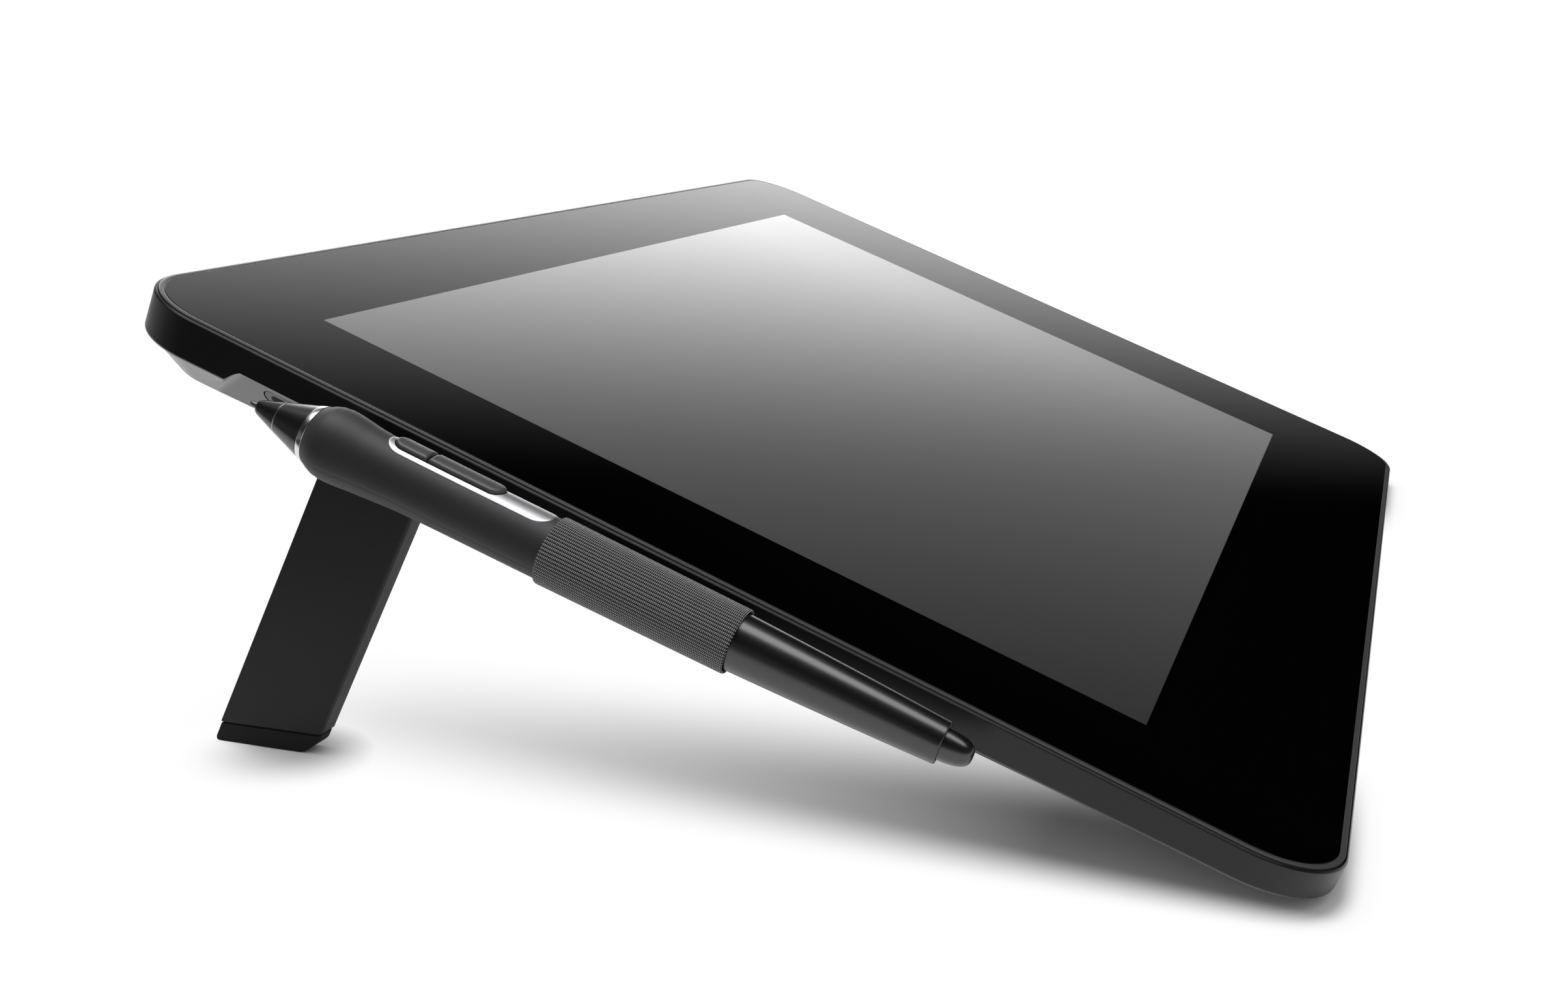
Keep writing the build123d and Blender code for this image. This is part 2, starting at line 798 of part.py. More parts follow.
# Rubber feet on the back
with BuildPart() as low_feet:
    for side in (-1, 1):
        with BuildSketch(back):
            with Locations((side * (half_length - low_foot_side_inset), low_foot_inset - half_width)):
                RectangleRounded(low_foot_length, low_foot_width, foot_round)
        extrude(amount=-(floor_gap + low_foot_width))
    split(bisect_by=Plane.XY, keep=Keep.TOP)

with BuildPart() as high_feet:
    for side in (-1, 1):
        with BuildSketch(back):
            with Locations((side * high_foot_u, half_width - high_foot_inset)):
                RectangleRounded(high_foot_length, high_foot_width, foot_round)
        extrude(amount=-high_foot_height)

# Pen frames: s runs from the nib's tip to the eraser
pen_tip = spot(-pen_u, pen_tip_v, pen_tip_w)
pen_dir = spot(0, -cos(pitch), sin(pitch)) - spot(0, 0, 0)
pen_up = spot(0, sin(pitch), cos(pitch)) - spot(0, 0, 0)
pen_axis = Axis(pen_tip, pen_dir)
pen_side = Plane(origin=pen_tip, x_dir=pen_dir, z_dir=-deck.x_dir)
pen_top = Plane(origin=pen_tip, x_dir=pen_dir, z_dir=pen_up)


def pen_across(s):
    """The plane across the pen at s, with u to the right and the pen's up upwards."""
    return Plane(origin=pen_side.from_local_coords(Vector(s, 0, 0)), x_dir=deck.x_dir, z_dir=pen_dir)


def turned(points):
    """A solid turned about the pen's axis from an outline of s and radius."""
    with BuildPart() as solid:
        with BuildSketch(pen_side):
            Polygon(*points, align=None)
        revolve(axis=pen_axis)
    return solid.part


def grip_skin(proud):
    """The grip's outer shape as one solid, grown by proud."""
    with BuildPart() as skin:
        with BuildSketch(pen_side):
            with BuildLine():
                Line((ring_end_s, 0), (ring_end_s, ring_end_radius + proud))
                Spline(
                    (ring_end_s, ring_end_radius + proud),
                    (grip_shoulder_s, grip_shoulder_radius + proud),
                    (grip_crown_s, grip_crown_radius + proud),
                    (grip_waist_s, grip_waist_radius + proud),
                )
                Polyline(
                    (grip_waist_s, grip_waist_radius + proud),
                    (grip_end_s, grip_end_radius + proud),
                    (grip_end_s, 0),
                    (ring_end_s, 0),
                )
            make_face()
        revolve(axis=pen_axis)
    return skin.part


# Pen: nib, cone, ring and what is behind them
nib_bore = nib_radius + running_gap
coil_bore = coil_radius + touch_gap
with BuildPart() as pen_nib:
    with BuildSketch(pen_side):
        with BuildLine():
            CenterArc((nib_radius, 0), nib_radius, 180, -90)
            Polyline((nib_radius, nib_radius), (nib_length, nib_radius), (nib_length, 0), (0, 0))
        make_face()
    revolve(axis=pen_axis)

with BuildPart() as pen_cone_tip:
    add(turned([
        (nib_reach, nib_bore),
        (nib_reach, cone_nose_radius),
        (cone_seam_s, cone_seam_radius),
        (cone_seam_s, nib_bore),
    ]))

with BuildPart() as pen_cone:
    add(turned([
        (cone_seam_s, nib_bore),
        (cone_seam_s, cone_seam_radius),
        (cone_end_s, cone_end_radius),
        (cone_end_s, coil_bore),
        (coil_start_s, coil_bore),
        (coil_start_s, nib_bore),
    ]))

with BuildPart() as pen_ring:
    add(turned([
        (cone_end_s, coil_bore),
        (cone_end_s, cone_end_radius),
        (ring_end_s, ring_end_radius),
        (ring_end_s, coil_bore),
    ]))

coil_end_s = coil_start_s + coil_length
with BuildPart() as pen_coil:
    add(turned([
        (coil_start_s, nib_radius + coil_bore_gap),
        (coil_start_s, coil_radius + touch_gap),
        (coil_end_s, coil_radius + touch_gap),
        (coil_end_s, nib_radius + coil_bore_gap),
    ]))

sensor_start_s = nib_length + nib_travel + touch_gap
sensor_end_s = sensor_start_s + force_sensor_length
with BuildPart() as pen_force_sensor:
    add(turned([
        (sensor_start_s, 0),
        (sensor_start_s, grip_bore_radius),
        (sensor_end_s, grip_bore_radius),
        (sensor_end_s, 0),
    ]))

with BuildPart() as pen_board:
    with BuildSketch(pen_across(sensor_end_s)):
        Rectangle(pen_board_width, pen_board_thickness)
    extrude(amount=pen_board_end_s - sensor_end_s)

# Pen: grip with its switch plate and two buttons
plate_mid_s = (plate_front_s + plate_end_s) / 2
plate_length = plate_end_s - plate_front_s
plate_floor = grip_end_radius - plate_depth
buttons_mid_s = (button_front_s + button_rear_s) / 2
buttons_length = button_rear_s - button_front_s
button_floor = plate_floor - pen_button_root
pen_top_reach = grip_shoulder_radius * 2


def button_strip(margin):
    """The rounded strip that both pen buttons share, grown by margin."""
    with Locations((buttons_mid_s, 0)):
        SlotOverall(buttons_length + 2 * margin, pen_button_width + 2 * margin)


with BuildPart() as pen_grip:
    add(grip_skin(0))
    add(turned([
        (ring_end_s, 0),
        (ring_end_s, coil_bore),
        (ring_end_s + grip_front_wall, coil_bore),
        (ring_end_s + grip_front_wall, grip_bore_radius),
        (grip_end_s - spigot_length, grip_bore_radius),
        (grip_end_s - spigot_length, spigot_radius),
        (grip_end_s, spigot_radius),
        (grip_end_s, 0),
    ]), mode=Mode.SUBTRACT)
    with BuildSketch(pen_top.offset(plate_floor)):
        with Locations((plate_mid_s, 0)):
            SlotOverall(plate_length, plate_width)
    extrude(amount=pen_top_reach, mode=Mode.SUBTRACT)
    with BuildSketch(pen_top.offset(button_floor)):
        button_strip(pen_button_gap)
    extrude(amount=pen_top_reach, mode=Mode.SUBTRACT)

with BuildPart() as pen_switch_plate:
    with BuildSketch(pen_top.offset(plate_floor)):
        with Locations((plate_mid_s, 0)):
            SlotOverall(plate_length, plate_width)
    extrude(amount=pen_top_reach)
    with BuildSketch(pen_top.offset(plate_floor)):
        button_strip(pen_button_gap)
    extrude(amount=pen_top_reach, mode=Mode.SUBTRACT)
    add(grip_skin(plate_proud), mode=Mode.INTERSECT)

pen_buttons = {}
for word, start, end in (
    ("pen_front_button", button_front_s - pen_button_width, button_split_s - button_split / 2),
    ("pen_rear_button", button_split_s + button_split / 2, button_rear_s + pen_button_width),
):
    with BuildPart() as pad:
        with BuildSketch(pen_top.offset(button_floor + pen_button_travel + touch_gap)):
            button_strip(0)
            with Locations(((start + end) / 2, 0)):
                Rectangle(end - start, plate_width * 2, mode=Mode.INTERSECT)
        extrude(amount=pen_top_reach)
        add(grip_skin(pen_button_proud), mode=Mode.INTERSECT)
    pen_buttons[word] = pad.part

# Pen: rear barrel and eraser
barrel_seat_s = barrel_end_s - eraser_seat
with BuildPart() as pen_barrel:
    with BuildSketch(pen_side):
        with BuildLine():
            Polyline((grip_end_s, 0), (grip_end_s, grip_end_radius))
            ThreePointArc(
                (grip_end_s, grip_end_radius),
                (barrel_mid_s, barrel_mid_radius),
                (barrel_end_s, barrel_end_radius),
            )
            Polyline((barrel_end_s, barrel_end_radius), (barrel_end_s, 0), (grip_end_s, 0))
        make_face()
    revolve(axis=pen_axis)
    fillet(pen_barrel.edges().sort_by(pen_axis)[-1], barrel_round)
    add(turned([
        (grip_end_s - spigot_length, 0),
        (grip_end_s - spigot_length, spigot_radius),
        (grip_end_s, spigot_radius),
        (grip_end_s, 0),
    ]))
    add(turned([
        (grip_end_s - spigot_length, 0),
        (grip_end_s - spigot_length, barrel_bore_radius),
        (barrel_seat_s - barrel_end_wall, barrel_bore_radius),
        (barrel_seat_s - barrel_end_wall, eraser_stem_radius + running_gap),
        (barrel_seat_s, eraser_stem_radius + running_gap),
        (barrel_seat_s, eraser_radius + touch_gap),
        (barrel_end_s, eraser_radius + touch_gap),
        (barrel_end_s, 0),
    ]), mode=Mode.SUBTRACT)

eraser_start_s = barrel_seat_s + eraser_travel + touch_gap
eraser_stem_s = eraser_start_s - eraser_stem_length
with BuildPart() as pen_eraser:
    with BuildSketch(pen_side):
        with BuildLine():
            Polyline(
                (eraser_stem_s, 0),
                (eraser_stem_s, eraser_stem_radius),
                (eraser_start_s, eraser_stem_radius),
                (eraser_start_s, eraser_radius),
                (barrel_end_s, eraser_radius),
            )
            Spline(
                (barrel_end_s, eraser_radius),
                (eraser_shoulder_s, eraser_radius * eraser_shoulder_share),
                (eraser_end_s, 0),
                tangents=((1, 0), (0, -1)),
            )
            Line((eraser_end_s, 0), (eraser_stem_s, 0))
        make_face()
    revolve(axis=pen_axis)

# Elastic loop and its anchor in the near wall
loop_front_radius = grip_waist_radius + loop_gap
loop_end_share = (loop_end_s - grip_end_s) / (barrel_mid_s - grip_end_s)
loop_end_radius = grip_end_radius + loop_gap - (grip_end_radius - barrel_mid_radius) * loop_end_share ** 2
anchor_face_u = half_length + anchor_proud
with BuildPart() as pen_loop:
    add(turned([
        (loop_front_s, 0),
        (loop_front_s, loop_front_radius + loop_band),
        (loop_end_s, loop_end_radius + loop_band),
        (loop_end_s, 0),
    ]))
    with BuildSketch(pen_across(loop_mid_s - anchor_length / 2 + anchor_height / 2)):
        with Locations(((pen_u - anchor_face_u) / 2, 0)):
            Rectangle(pen_u - anchor_face_u, loop_neck)
    extrude(amount=anchor_length - anchor_height)
    add(turned([
        (loop_front_s - loop_band, 0),
        (loop_front_s - loop_band, loop_front_radius),
        (loop_end_s + loop_band, loop_end_radius),
        (loop_end_s + loop_band, 0),
    ]), mode=Mode.SUBTRACT)

with BuildPart() as loop_anchor:
    with BuildSketch(along(-anchor_face_u)):
        with Locations((loop_v, loop_w)):
            SlotOverall(anchor_length, anchor_height)
    extrude(amount=anchor_proud + wall)
    with BuildSketch(along(wall - half_length)):
        with Locations((loop_v, loop_w)):
            Rectangle(anchor_length + 2 * anchor_flange, anchor_height)
    extrude(amount=anchor_flange)

# Every piece under the name of its node
pieces = {
    "glass_cover": glass_cover.part,
    "front_rim": front_rim.part,
    "lcd_panel": lcd_panel.part,
    "light_guide": light_guide.part,
    "lamp_strip": lamp_strip.part,
    "backlight_tray": backlight_tray.part,
    "sensor_board": sensor_board.part,
    "shield_plate": shield_plate.part,
    "shield_screws": shield_screws.part,
    "main_board": main_board.part,
    "board_chips": board_chips.part,
    "board_screws": board_screws.part,
    "cable_socket": cable_socket.part,
    "power_button": power_button.part,
    "power_switch": power_switch.part,
    "light_pipe": light_pipe.part,
    "rear_cover": rear_cover.part,
    "cover_screws": cover_screws.part,
    "lock_slot": lock_slot.part,
    "low_feet": low_feet.part,
    "high_feet": high_feet.part,
    "loop_anchor": loop_anchor.part,
    "pen_loop": pen_loop.part,
    "pen_nib": pen_nib.part,
    "pen_cone_tip": pen_cone_tip.part,
    "pen_cone": pen_cone.part,
    "pen_ring": pen_ring.part,
    "pen_coil": pen_coil.part,
    "pen_force_sensor": pen_force_sensor.part,
    "pen_board": pen_board.part,
    "pen_grip": pen_grip.part,
    "pen_switch_plate": pen_switch_plate.part,
    "pen_barrel": pen_barrel.part,
    "pen_eraser": pen_eraser.part,
}
pieces.update(legs)
pieces.update(pen_buttons)
for name, piece in pieces.items():
    piece.label = name
    export_step(piece, "parts/" + name + ".step")

for side, word in ((-1, "left"), (1, "right")):
    print(word, "leg pin at", leg_pin_axis(side).position, "along", back.y_dir)
print("pen tip", pen_tip, "pen direction", pen_dir, "pen up", pen_up)
print("slope", deck.y_dir, "glass normal", deck.z_dir, "glass centre", deck.origin)
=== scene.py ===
"""Graphics tablet with screen on two fold-out legs, with its pen in an elastic loop on the near side."""

import logging
import math
from dataclasses import dataclass, field
from enum import Enum
from functools import cached_property
from typing import Callable, Iterable, Optional, Sequence

import bmesh
import bpy
from mathutils import Matrix, Vector

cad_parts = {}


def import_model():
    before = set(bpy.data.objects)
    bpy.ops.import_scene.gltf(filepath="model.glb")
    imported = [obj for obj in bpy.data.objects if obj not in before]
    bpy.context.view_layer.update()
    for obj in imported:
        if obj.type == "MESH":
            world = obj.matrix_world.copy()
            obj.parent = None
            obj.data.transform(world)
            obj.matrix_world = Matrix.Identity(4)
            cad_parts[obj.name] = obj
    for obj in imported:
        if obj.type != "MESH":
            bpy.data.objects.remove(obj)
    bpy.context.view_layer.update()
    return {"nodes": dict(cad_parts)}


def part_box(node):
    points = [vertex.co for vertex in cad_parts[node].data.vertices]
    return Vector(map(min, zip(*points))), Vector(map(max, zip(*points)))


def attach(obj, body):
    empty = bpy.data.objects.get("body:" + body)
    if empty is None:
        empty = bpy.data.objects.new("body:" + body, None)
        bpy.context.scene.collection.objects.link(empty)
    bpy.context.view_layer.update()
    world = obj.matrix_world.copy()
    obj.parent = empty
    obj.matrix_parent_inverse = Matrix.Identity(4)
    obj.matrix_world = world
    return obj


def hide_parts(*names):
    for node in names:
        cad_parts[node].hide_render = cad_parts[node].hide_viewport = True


LOG = logging.getLogger("tablet")
MM = 0.001
OVERRUN = 5.0

Point = tuple[float, float]
Row = list[Vector]


class Body(str, Enum):
    """The bodies that the pieces ride on."""

    CASING = "casing"
    LEFT_LEG = "left_leg"
    RIGHT_LEG = "right_leg"
    BUTTON = "power_button"
    PEN = "pen"
    NIB = "pen_nib"
    ERASER = "pen_eraser"
    FRONT_BUTTON = "pen_front_button"
    REAR_BUTTON = "pen_rear_button"


class Side(Enum):
    """The two sides of the casing that carry a leg."""

    LEFT = -1
    RIGHT = 1


@dataclass(frozen=True)
class Place:
    """A local frame in millimetres: where its origin is and how its three axes point."""

    origin: Vector
    x: Vector
    y: Vector
    z: Vector

    def at(self, a: float, b: float, c: float) -> Vector:
        """A point given in this frame, in the frame around it."""
        return self.origin + self.x * a + self.y * b + self.z * c

    def turn(self, a: float, b: float, c: float) -> Vector:
        """A direction given in this frame, in the frame around it."""
        return self.x * a + self.y * b + self.z * c

    def inside(self, outer: "Place") -> "Place":
        """This frame, given inside another one, as a frame of the world.

        Args:
            outer: the frame that this one is measured in.

        Returns:
            The same frame measured in the world.
        """
        return Place(
            outer.at(*self.origin), outer.turn(*self.x), outer.turn(*self.y), outer.turn(*self.z)
        )

    def matrix(self) -> Matrix:
        """The matrix that takes millimetres in this frame to metres in the world."""
        turned = Matrix((self.x, self.y, self.z)).transposed().to_4x4()
        return Matrix.Translation(self.origin * MM) @ turned @ Matrix.Scale(MM, 4)


def tilted(origin: Vector, angle_deg: float) -> Place:
    """A frame turned about the long axis, so that its second axis climbs by the angle.

    Args:
        origin: the frame's origin.
        angle_deg: the climb of the second axis in degrees.

    Returns:
        The frame.
    """
    angle = math.radians(angle_deg)
    up = Vector((0, -math.sin(angle), math.cos(angle)))
    return Place(origin, Vector((1, 0, 0)), Vector((0, math.cos(angle), math.sin(angle))), up)


@dataclass(frozen=True)
class Layout:
    """The sizes that the sub-assemblies share, in millimetres on the glass."""

    tilt_deg: float = 21.0
    length: float = 422.0
    width: float = 285.0
    corner: float = 20.0
    wall: float = 2.0
    lip: float = 0.75
    lip_drop: float = 0.45
    glass_inset: float = 2.1
    glass_thickness: float = 1.2
    rim_thickness: float = 2.0
    side_depth: float = 8.7
    side_wedge_deg: float = 0.63
    haunch_inset: float = 10.0
    haunch_depth: float = 14.0
    haunch_wedge_deg: float = 1.5
    back_inset: float = 24.0
    back_depth: float = 18.9
    back_wedge_deg: float = 2.0

    @property
    def half_length(self) -> float:
        """Half of the casing's long side."""
        return self.length / 2

    @property
    def half_width(self) -> float:
        """Half of the casing's short side."""
        return self.width / 2

    @cached_property
    def deck(self) -> Place:
        """The frame of the glass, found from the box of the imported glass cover.

        Returns:
            The frame in the world: u along the long side, v up the slope, w out of the glass.
        """
        low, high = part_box("glass_cover")
        upright = tilted(Vector((0, 0, 0)), self.tilt_deg)
        middle = (low + high) / 2 / MM
        return tilted(middle + upright.z * (self.glass_thickness / 2), self.tilt_deg)

    def back(self) -> Place:
        """The frame of the sloped back, measured on the glass."""
        return tilted(Vector((0, 0, -self.back_depth)), -self.back_wedge_deg)

    def outline(self, inset: float, steps: int = 20) -> list[Point]:
        """The casing's rounded outline, drawn in by inset."""
        radius = self.corner - min(inset, self.corner / 2)
        return rounded_outline(self.length - 2 * inset, self.width - 2 * inset, radius, steps)

    def plane(self, depth: float, wedge_deg: float) -> Callable[[float], float]:
        """The height of an underside plane as a function of v."""
        slope = math.tan(math.radians(wedge_deg))
        return lambda v: -depth - v * slope


def rounded_outline(
    length: float, width: float, radius: float, steps: int, centre: Point = (0.0, 0.0)
) -> list[Point]:
    """The points of a rounded rectangle, counter-clockwise.

    Args:
        length: the size along the first axis.
        width: the size along the second axis.
        radius: the corner radius.
        steps: how many pieces each corner has.
        centre: the middle of the rectangle.

    Returns:
        The points, (steps + 1) for each corner.
    """
    points = []
    for corner, (side, end) in enumerate(((1, 1), (-1, 1), (-1, -1), (1, -1))):
        x = centre[0] + side * (length / 2 - radius)
        y = centre[1] + end * (width / 2 - radius)
        for step in range(steps + 1):
            angle = math.radians(90 * (corner + step / steps))
            points.append((x + radius * math.cos(angle), y + radius * math.sin(angle)))
    return points


def divided(outline: Sequence[Point], counts: Sequence[int]) -> list[Point]:
    """A closed outline with each side split into as many parts as its count says."""
    points = []
    for start, end, parts in zip(outline, [*outline[1:], outline[0]], counts):
        for part in range(parts):
            points.append(tuple(p + (q - p) * part / parts for p, q in zip(start, end)))
    return points


def slot_outline(length: float, width: float, steps: int = 10) -> list[Point]:
    """The points of a slot with round ends, counter-clockwise."""
    return rounded_outline(length, width, width / 2 - 1e-4, steps)


def loft(name: str, rows: Sequence[Row], closed: bool = True, caps: bool = True, ring: bool = False) -> bpy.types.Mesh:
    """Joins rows of points into a skin.

    Args:
        name: the mesh's name.
        rows: rows of as many points each.
        closed: whether each row's last point joins its first.
        caps: whether the first and last rows are closed by a face.
        ring: whether the last row joins the first.

    Returns:
        The mesh, with its faces pointing outwards.
    """
    form = bmesh.new()
    verts = [[form.verts.new(point) for point in row] for row in rows]
    count = len(rows[0])
    spans = count if closed else count - 1
    pairs = list(zip(verts, verts[1:]))
    if ring:
        pairs.append((verts[-1], verts[0]))
    for near, far in pairs:
        for k in range(spans):
            after = (k + 1) % count
            form.faces.new((near[k], near[after], far[after], far[k]))
    if caps and not ring:
        form.faces.new(verts[0])
        form.faces.new(verts[-1])
    return tidied(form, name)


def tidied(form: bmesh.types.BMesh, name: str) -> bpy.types.Mesh:
    """Merges doubles, points the faces outwards and returns the mesh."""
    bmesh.ops.remove_doubles(form, verts=form.verts, dist=1e-4)
    bmesh.ops.recalc_face_normals(form, faces=form.faces)
    mesh = bpy.data.meshes.new(name)
    form.to_mesh(mesh)
    form.free()
    return mesh


def prism(name: str, points: Sequence[Point], place: Place, start: float, end: float) -> bpy.types.Mesh:
    """A straight solid over an outline in a frame, from one height to another."""
    rows = [[place.at(a, b, height) for a, b in points] for height in (start, end)]
    return loft(name, rows)


def placed(mesh: bpy.types.Mesh) -> bpy.types.Object:
    """A mesh as an object in the scene."""
    thing = bpy.data.objects.new(mesh.name, mesh)
    bpy.context.scene.collection.objects.link(thing)
    return thing


def baked(thing: bpy.types.Object) -> bpy.types.Mesh:
    """The mesh of an object with its modifiers applied; the object is removed.

    Args:
        thing: the object.

    Returns:
        The plain mesh, under the object's name.
    """
    graph = bpy.context.evaluated_depsgraph_get()
    graph.update()
    mesh = bpy.data.meshes.new_from_object(thing.evaluated_get(graph))
    name = thing.name
    bpy.data.objects.remove(thing)
    mesh.name = name
    return mesh


def cut(body: bpy.types.Mesh, tools: Iterable[bpy.types.Mesh], operation: str = "DIFFERENCE") -> bpy.types.Mesh:
    """Cuts closed meshes out of a closed mesh.

    Args:
        body: the mesh that is cut.
        tools: the meshes that cut it, one after the other.
        operation: DIFFERENCE, UNION or INTERSECT.

    Returns:
        The new mesh.
    """
    thing = placed(body)
    helpers = []
    for tool in tools:
        helper = placed(tool)
        helpers.append(helper)
        change = thing.modifiers.new("cut", "BOOLEAN")
        change.operation = operation
        change.solver = "EXACT"
        change.object = helper
    mesh = baked(thing)
    for helper in helpers:
        bpy.data.objects.remove(helper)
    return mesh


def soften(
    mesh: bpy.types.Mesh, width: float, segments: int, wanted: Optional[Callable[[Vector], bool]] = None,
    sharper_deg: float = 28.0
) -> bpy.types.Mesh:
    """Rounds the sharp edges of a mesh.

    Args:
        mesh: the mesh that is changed.
        width: the rounding's width.
        segments: how many faces cross it.
        wanted: which edges are rounded, told by their middle; all of them if left out.
        sharper_deg: the least angle between the two faces of a rounded edge.

    Returns:
        The same mesh.
    """
    form = bmesh.new()
    form.from_mesh(mesh)
    bmesh.ops.dissolve_limit(form, angle_limit=math.radians(0.5), verts=form.verts, edges=form.edges)
    least = math.radians(sharper_deg)
    chosen = [
        edge for edge in form.edges
        if len(edge.link_faces) == 2 and edge.calc_face_angle(0) > least
        and (wanted is None or wanted((edge.verts[0].co + edge.verts[1].co) / 2))
    ]
    bmesh.ops.bevel(
        form, geom=chosen, offset=width, segments=segments, profile=0.5, affect="EDGES", clamp_overlap=True
    )
    form.to_mesh(mesh)
    form.free()
    return mesh


def joined(name: str, meshes: Iterable[bpy.types.Mesh]) -> bpy.types.Mesh:
    """Several meshes as one."""
    form = bmesh.new()
    for mesh in meshes:
        form.from_mesh(mesh)
    whole = bpy.data.meshes.new(name)
    form.to_mesh(whole)
    form.free()
    return whole


@dataclass
class Tree:
    """A node tree with short calls to add nodes and links."""

    tree: bpy.types.NodeTree

    def add(self, kind: str, **settings: object) -> bpy.types.Node:
        """Adds a node and sets its own settings."""
        node = self.tree.nodes.new(kind)
        for name, value in settings.items():
            setattr(node, name, value)
        return node

    def feed(self, target: bpy.types.Node, **sources: object) -> bpy.types.Node:
        """Feeds sockets, named with _ for a space, from a value or another socket.

        Args:
            target: the node whose inputs are set.
            sources: a number, a tuple or an output socket for each input; i0, i1 and so on count them.

        Returns:
            The same node.
        """
        for name, source in sources.items():
            counted = name[0] == "i" and name[1:].isdigit()
            socket = target.inputs[int(name[1:])] if counted else target.inputs[name.replace("_", " ")]
            if isinstance(source, bpy.types.NodeSocket):
                self.tree.links.new(source, socket)
            else:
                socket.default_value = source
        return target

    def math(self, operation: str, first: object, second: object = 0.0, third: object = 0.0) -> bpy.types.NodeSocket:
        """A math node's result."""
        node = self.add("ShaderNodeMath", operation=operation)
        return self.feed(node, i0=first, i1=second, i2=third).outputs[0]

    def mixed(self, share: object, first: object, second: object) -> bpy.types.NodeSocket:
        """A colour between two colours."""
        node = self.add("ShaderNodeMix", data_type="RGBA")
        return self.feed(node, i0=share, i6=first, i7=second).outputs[2]


def shared_group(name: str, inputs: dict[str, float], outputs: dict[str, str]) -> tuple[bpy.types.NodeTree, Tree]:
    """An empty shader group with a vector input, named numbers and named outputs."""
    group = bpy.data.node_groups.new(name, "ShaderNodeTree")
    group.interface.new_socket("Vector", in_out="INPUT", socket_type="NodeSocketVector")
    for key, value in inputs.items():
        socket = group.interface.new_socket(key, in_out="INPUT", socket_type="NodeSocketFloat")
        socket.default_value = value
    for key, kind in outputs.items():
        group.interface.new_socket(key, in_out="OUTPUT", socket_type=kind)
    return group, Tree(group)


class Effects:
    """The effects that several finishes share, each a node group that is built once."""

    def __init__(self) -> None:
        """Builds the groups."""
        self.grain = self._grain()
        self.wear = self._wear()
        self.frame = self._frame()

    def _grain(self) -> bpy.types.NodeTree:
        """Moulded grain: a fine height and a slow drift of tone."""
        group, tree = shared_group(
            "moulded_grain", {"Grain Size": 0.0004, "Drift Size": 0.05}, {"Height": "NodeSocketFloat", "Drift": "NodeSocketFloat"}
        )
        source = tree.add("NodeGroupInput")
        sink = tree.add("NodeGroupOutput")
        fine_scale = tree.math("DIVIDE", 1.0, source.outputs["Grain Size"])
        slow_scale = tree.math("DIVIDE", 1.0, source.outputs["Drift Size"])
        fine = tree.add("ShaderNodeTexNoise", noise_dimensions="3D")
        tree.feed(fine, Vector=source.outputs["Vector"], Scale=fine_scale, Detail=3.0, Roughness=0.6)
        slow = tree.add("ShaderNodeTexNoise", noise_dimensions="3D")
        tree.feed(slow, Vector=source.outputs["Vector"], Scale=slow_scale, Detail=2.0)
        tree.feed(sink, Height=fine.outputs[0], Drift=slow.outputs[0])
        return group

    def _wear(self) -> bpy.types.NodeTree:
        """Handling marks: faint smears where hands rub the surface."""
        group, tree = shared_group("handling_marks", {"Mark Size": 0.03}, {"Mark": "NodeSocketFloat"})
        source = tree.add("NodeGroupInput")
        sink = tree.add("NodeGroupOutput")
        scale = tree.math("DIVIDE", 1.0, source.outputs["Mark Size"])
        smear = tree.add("ShaderNodeTexNoise", noise_dimensions="3D")
        tree.feed(smear, Vector=source.outputs["Vector"], Scale=scale, Detail=5.0, Roughness=0.7, Distortion=1.2)
        edge = tree.add("ShaderNodeMapRange", interpolation_type="SMOOTHSTEP")
        tree.feed(edge, Value=smear.outputs[0], From_Min=0.5, From_Max=0.75)
        tree.feed(sink, Mark=edge.outputs[0])
        return group

    def _frame(self) -> bpy.types.NodeTree:
        """A rectangle's mask: one inside it and nothing outside, with a soft edge."""
        group, tree = shared_group(
            "rectangle_mask", {"Half Length": 0.1, "Half Width": 0.1, "Softness": 0.0001}, {"Inside": "NodeSocketFloat"}
        )
        source = tree.add("NodeGroupInput")
        sink = tree.add("NodeGroupOutput")
        axes = tree.add("ShaderNodeSeparateXYZ")
        tree.feed(axes, Vector=source.outputs["Vector"])
        past_x = tree.math("SUBTRACT", tree.math("ABSOLUTE", axes.outputs[0]), source.outputs["Half Length"])
        past_y = tree.math("SUBTRACT", tree.math("ABSOLUTE", axes.outputs[1]), source.outputs["Half Width"])
        past = tree.math("MAXIMUM", past_x, past_y)
        share = tree.math("DIVIDE", past, source.outputs["Softness"])
        inside = tree.add("ShaderNodeMapRange", interpolation_type="SMOOTHSTEP")
        tree.feed(inside, Value=share, From_Min=0.5, From_Max=-0.5)
        tree.feed(sink, Inside=inside.outputs[0])
        return group


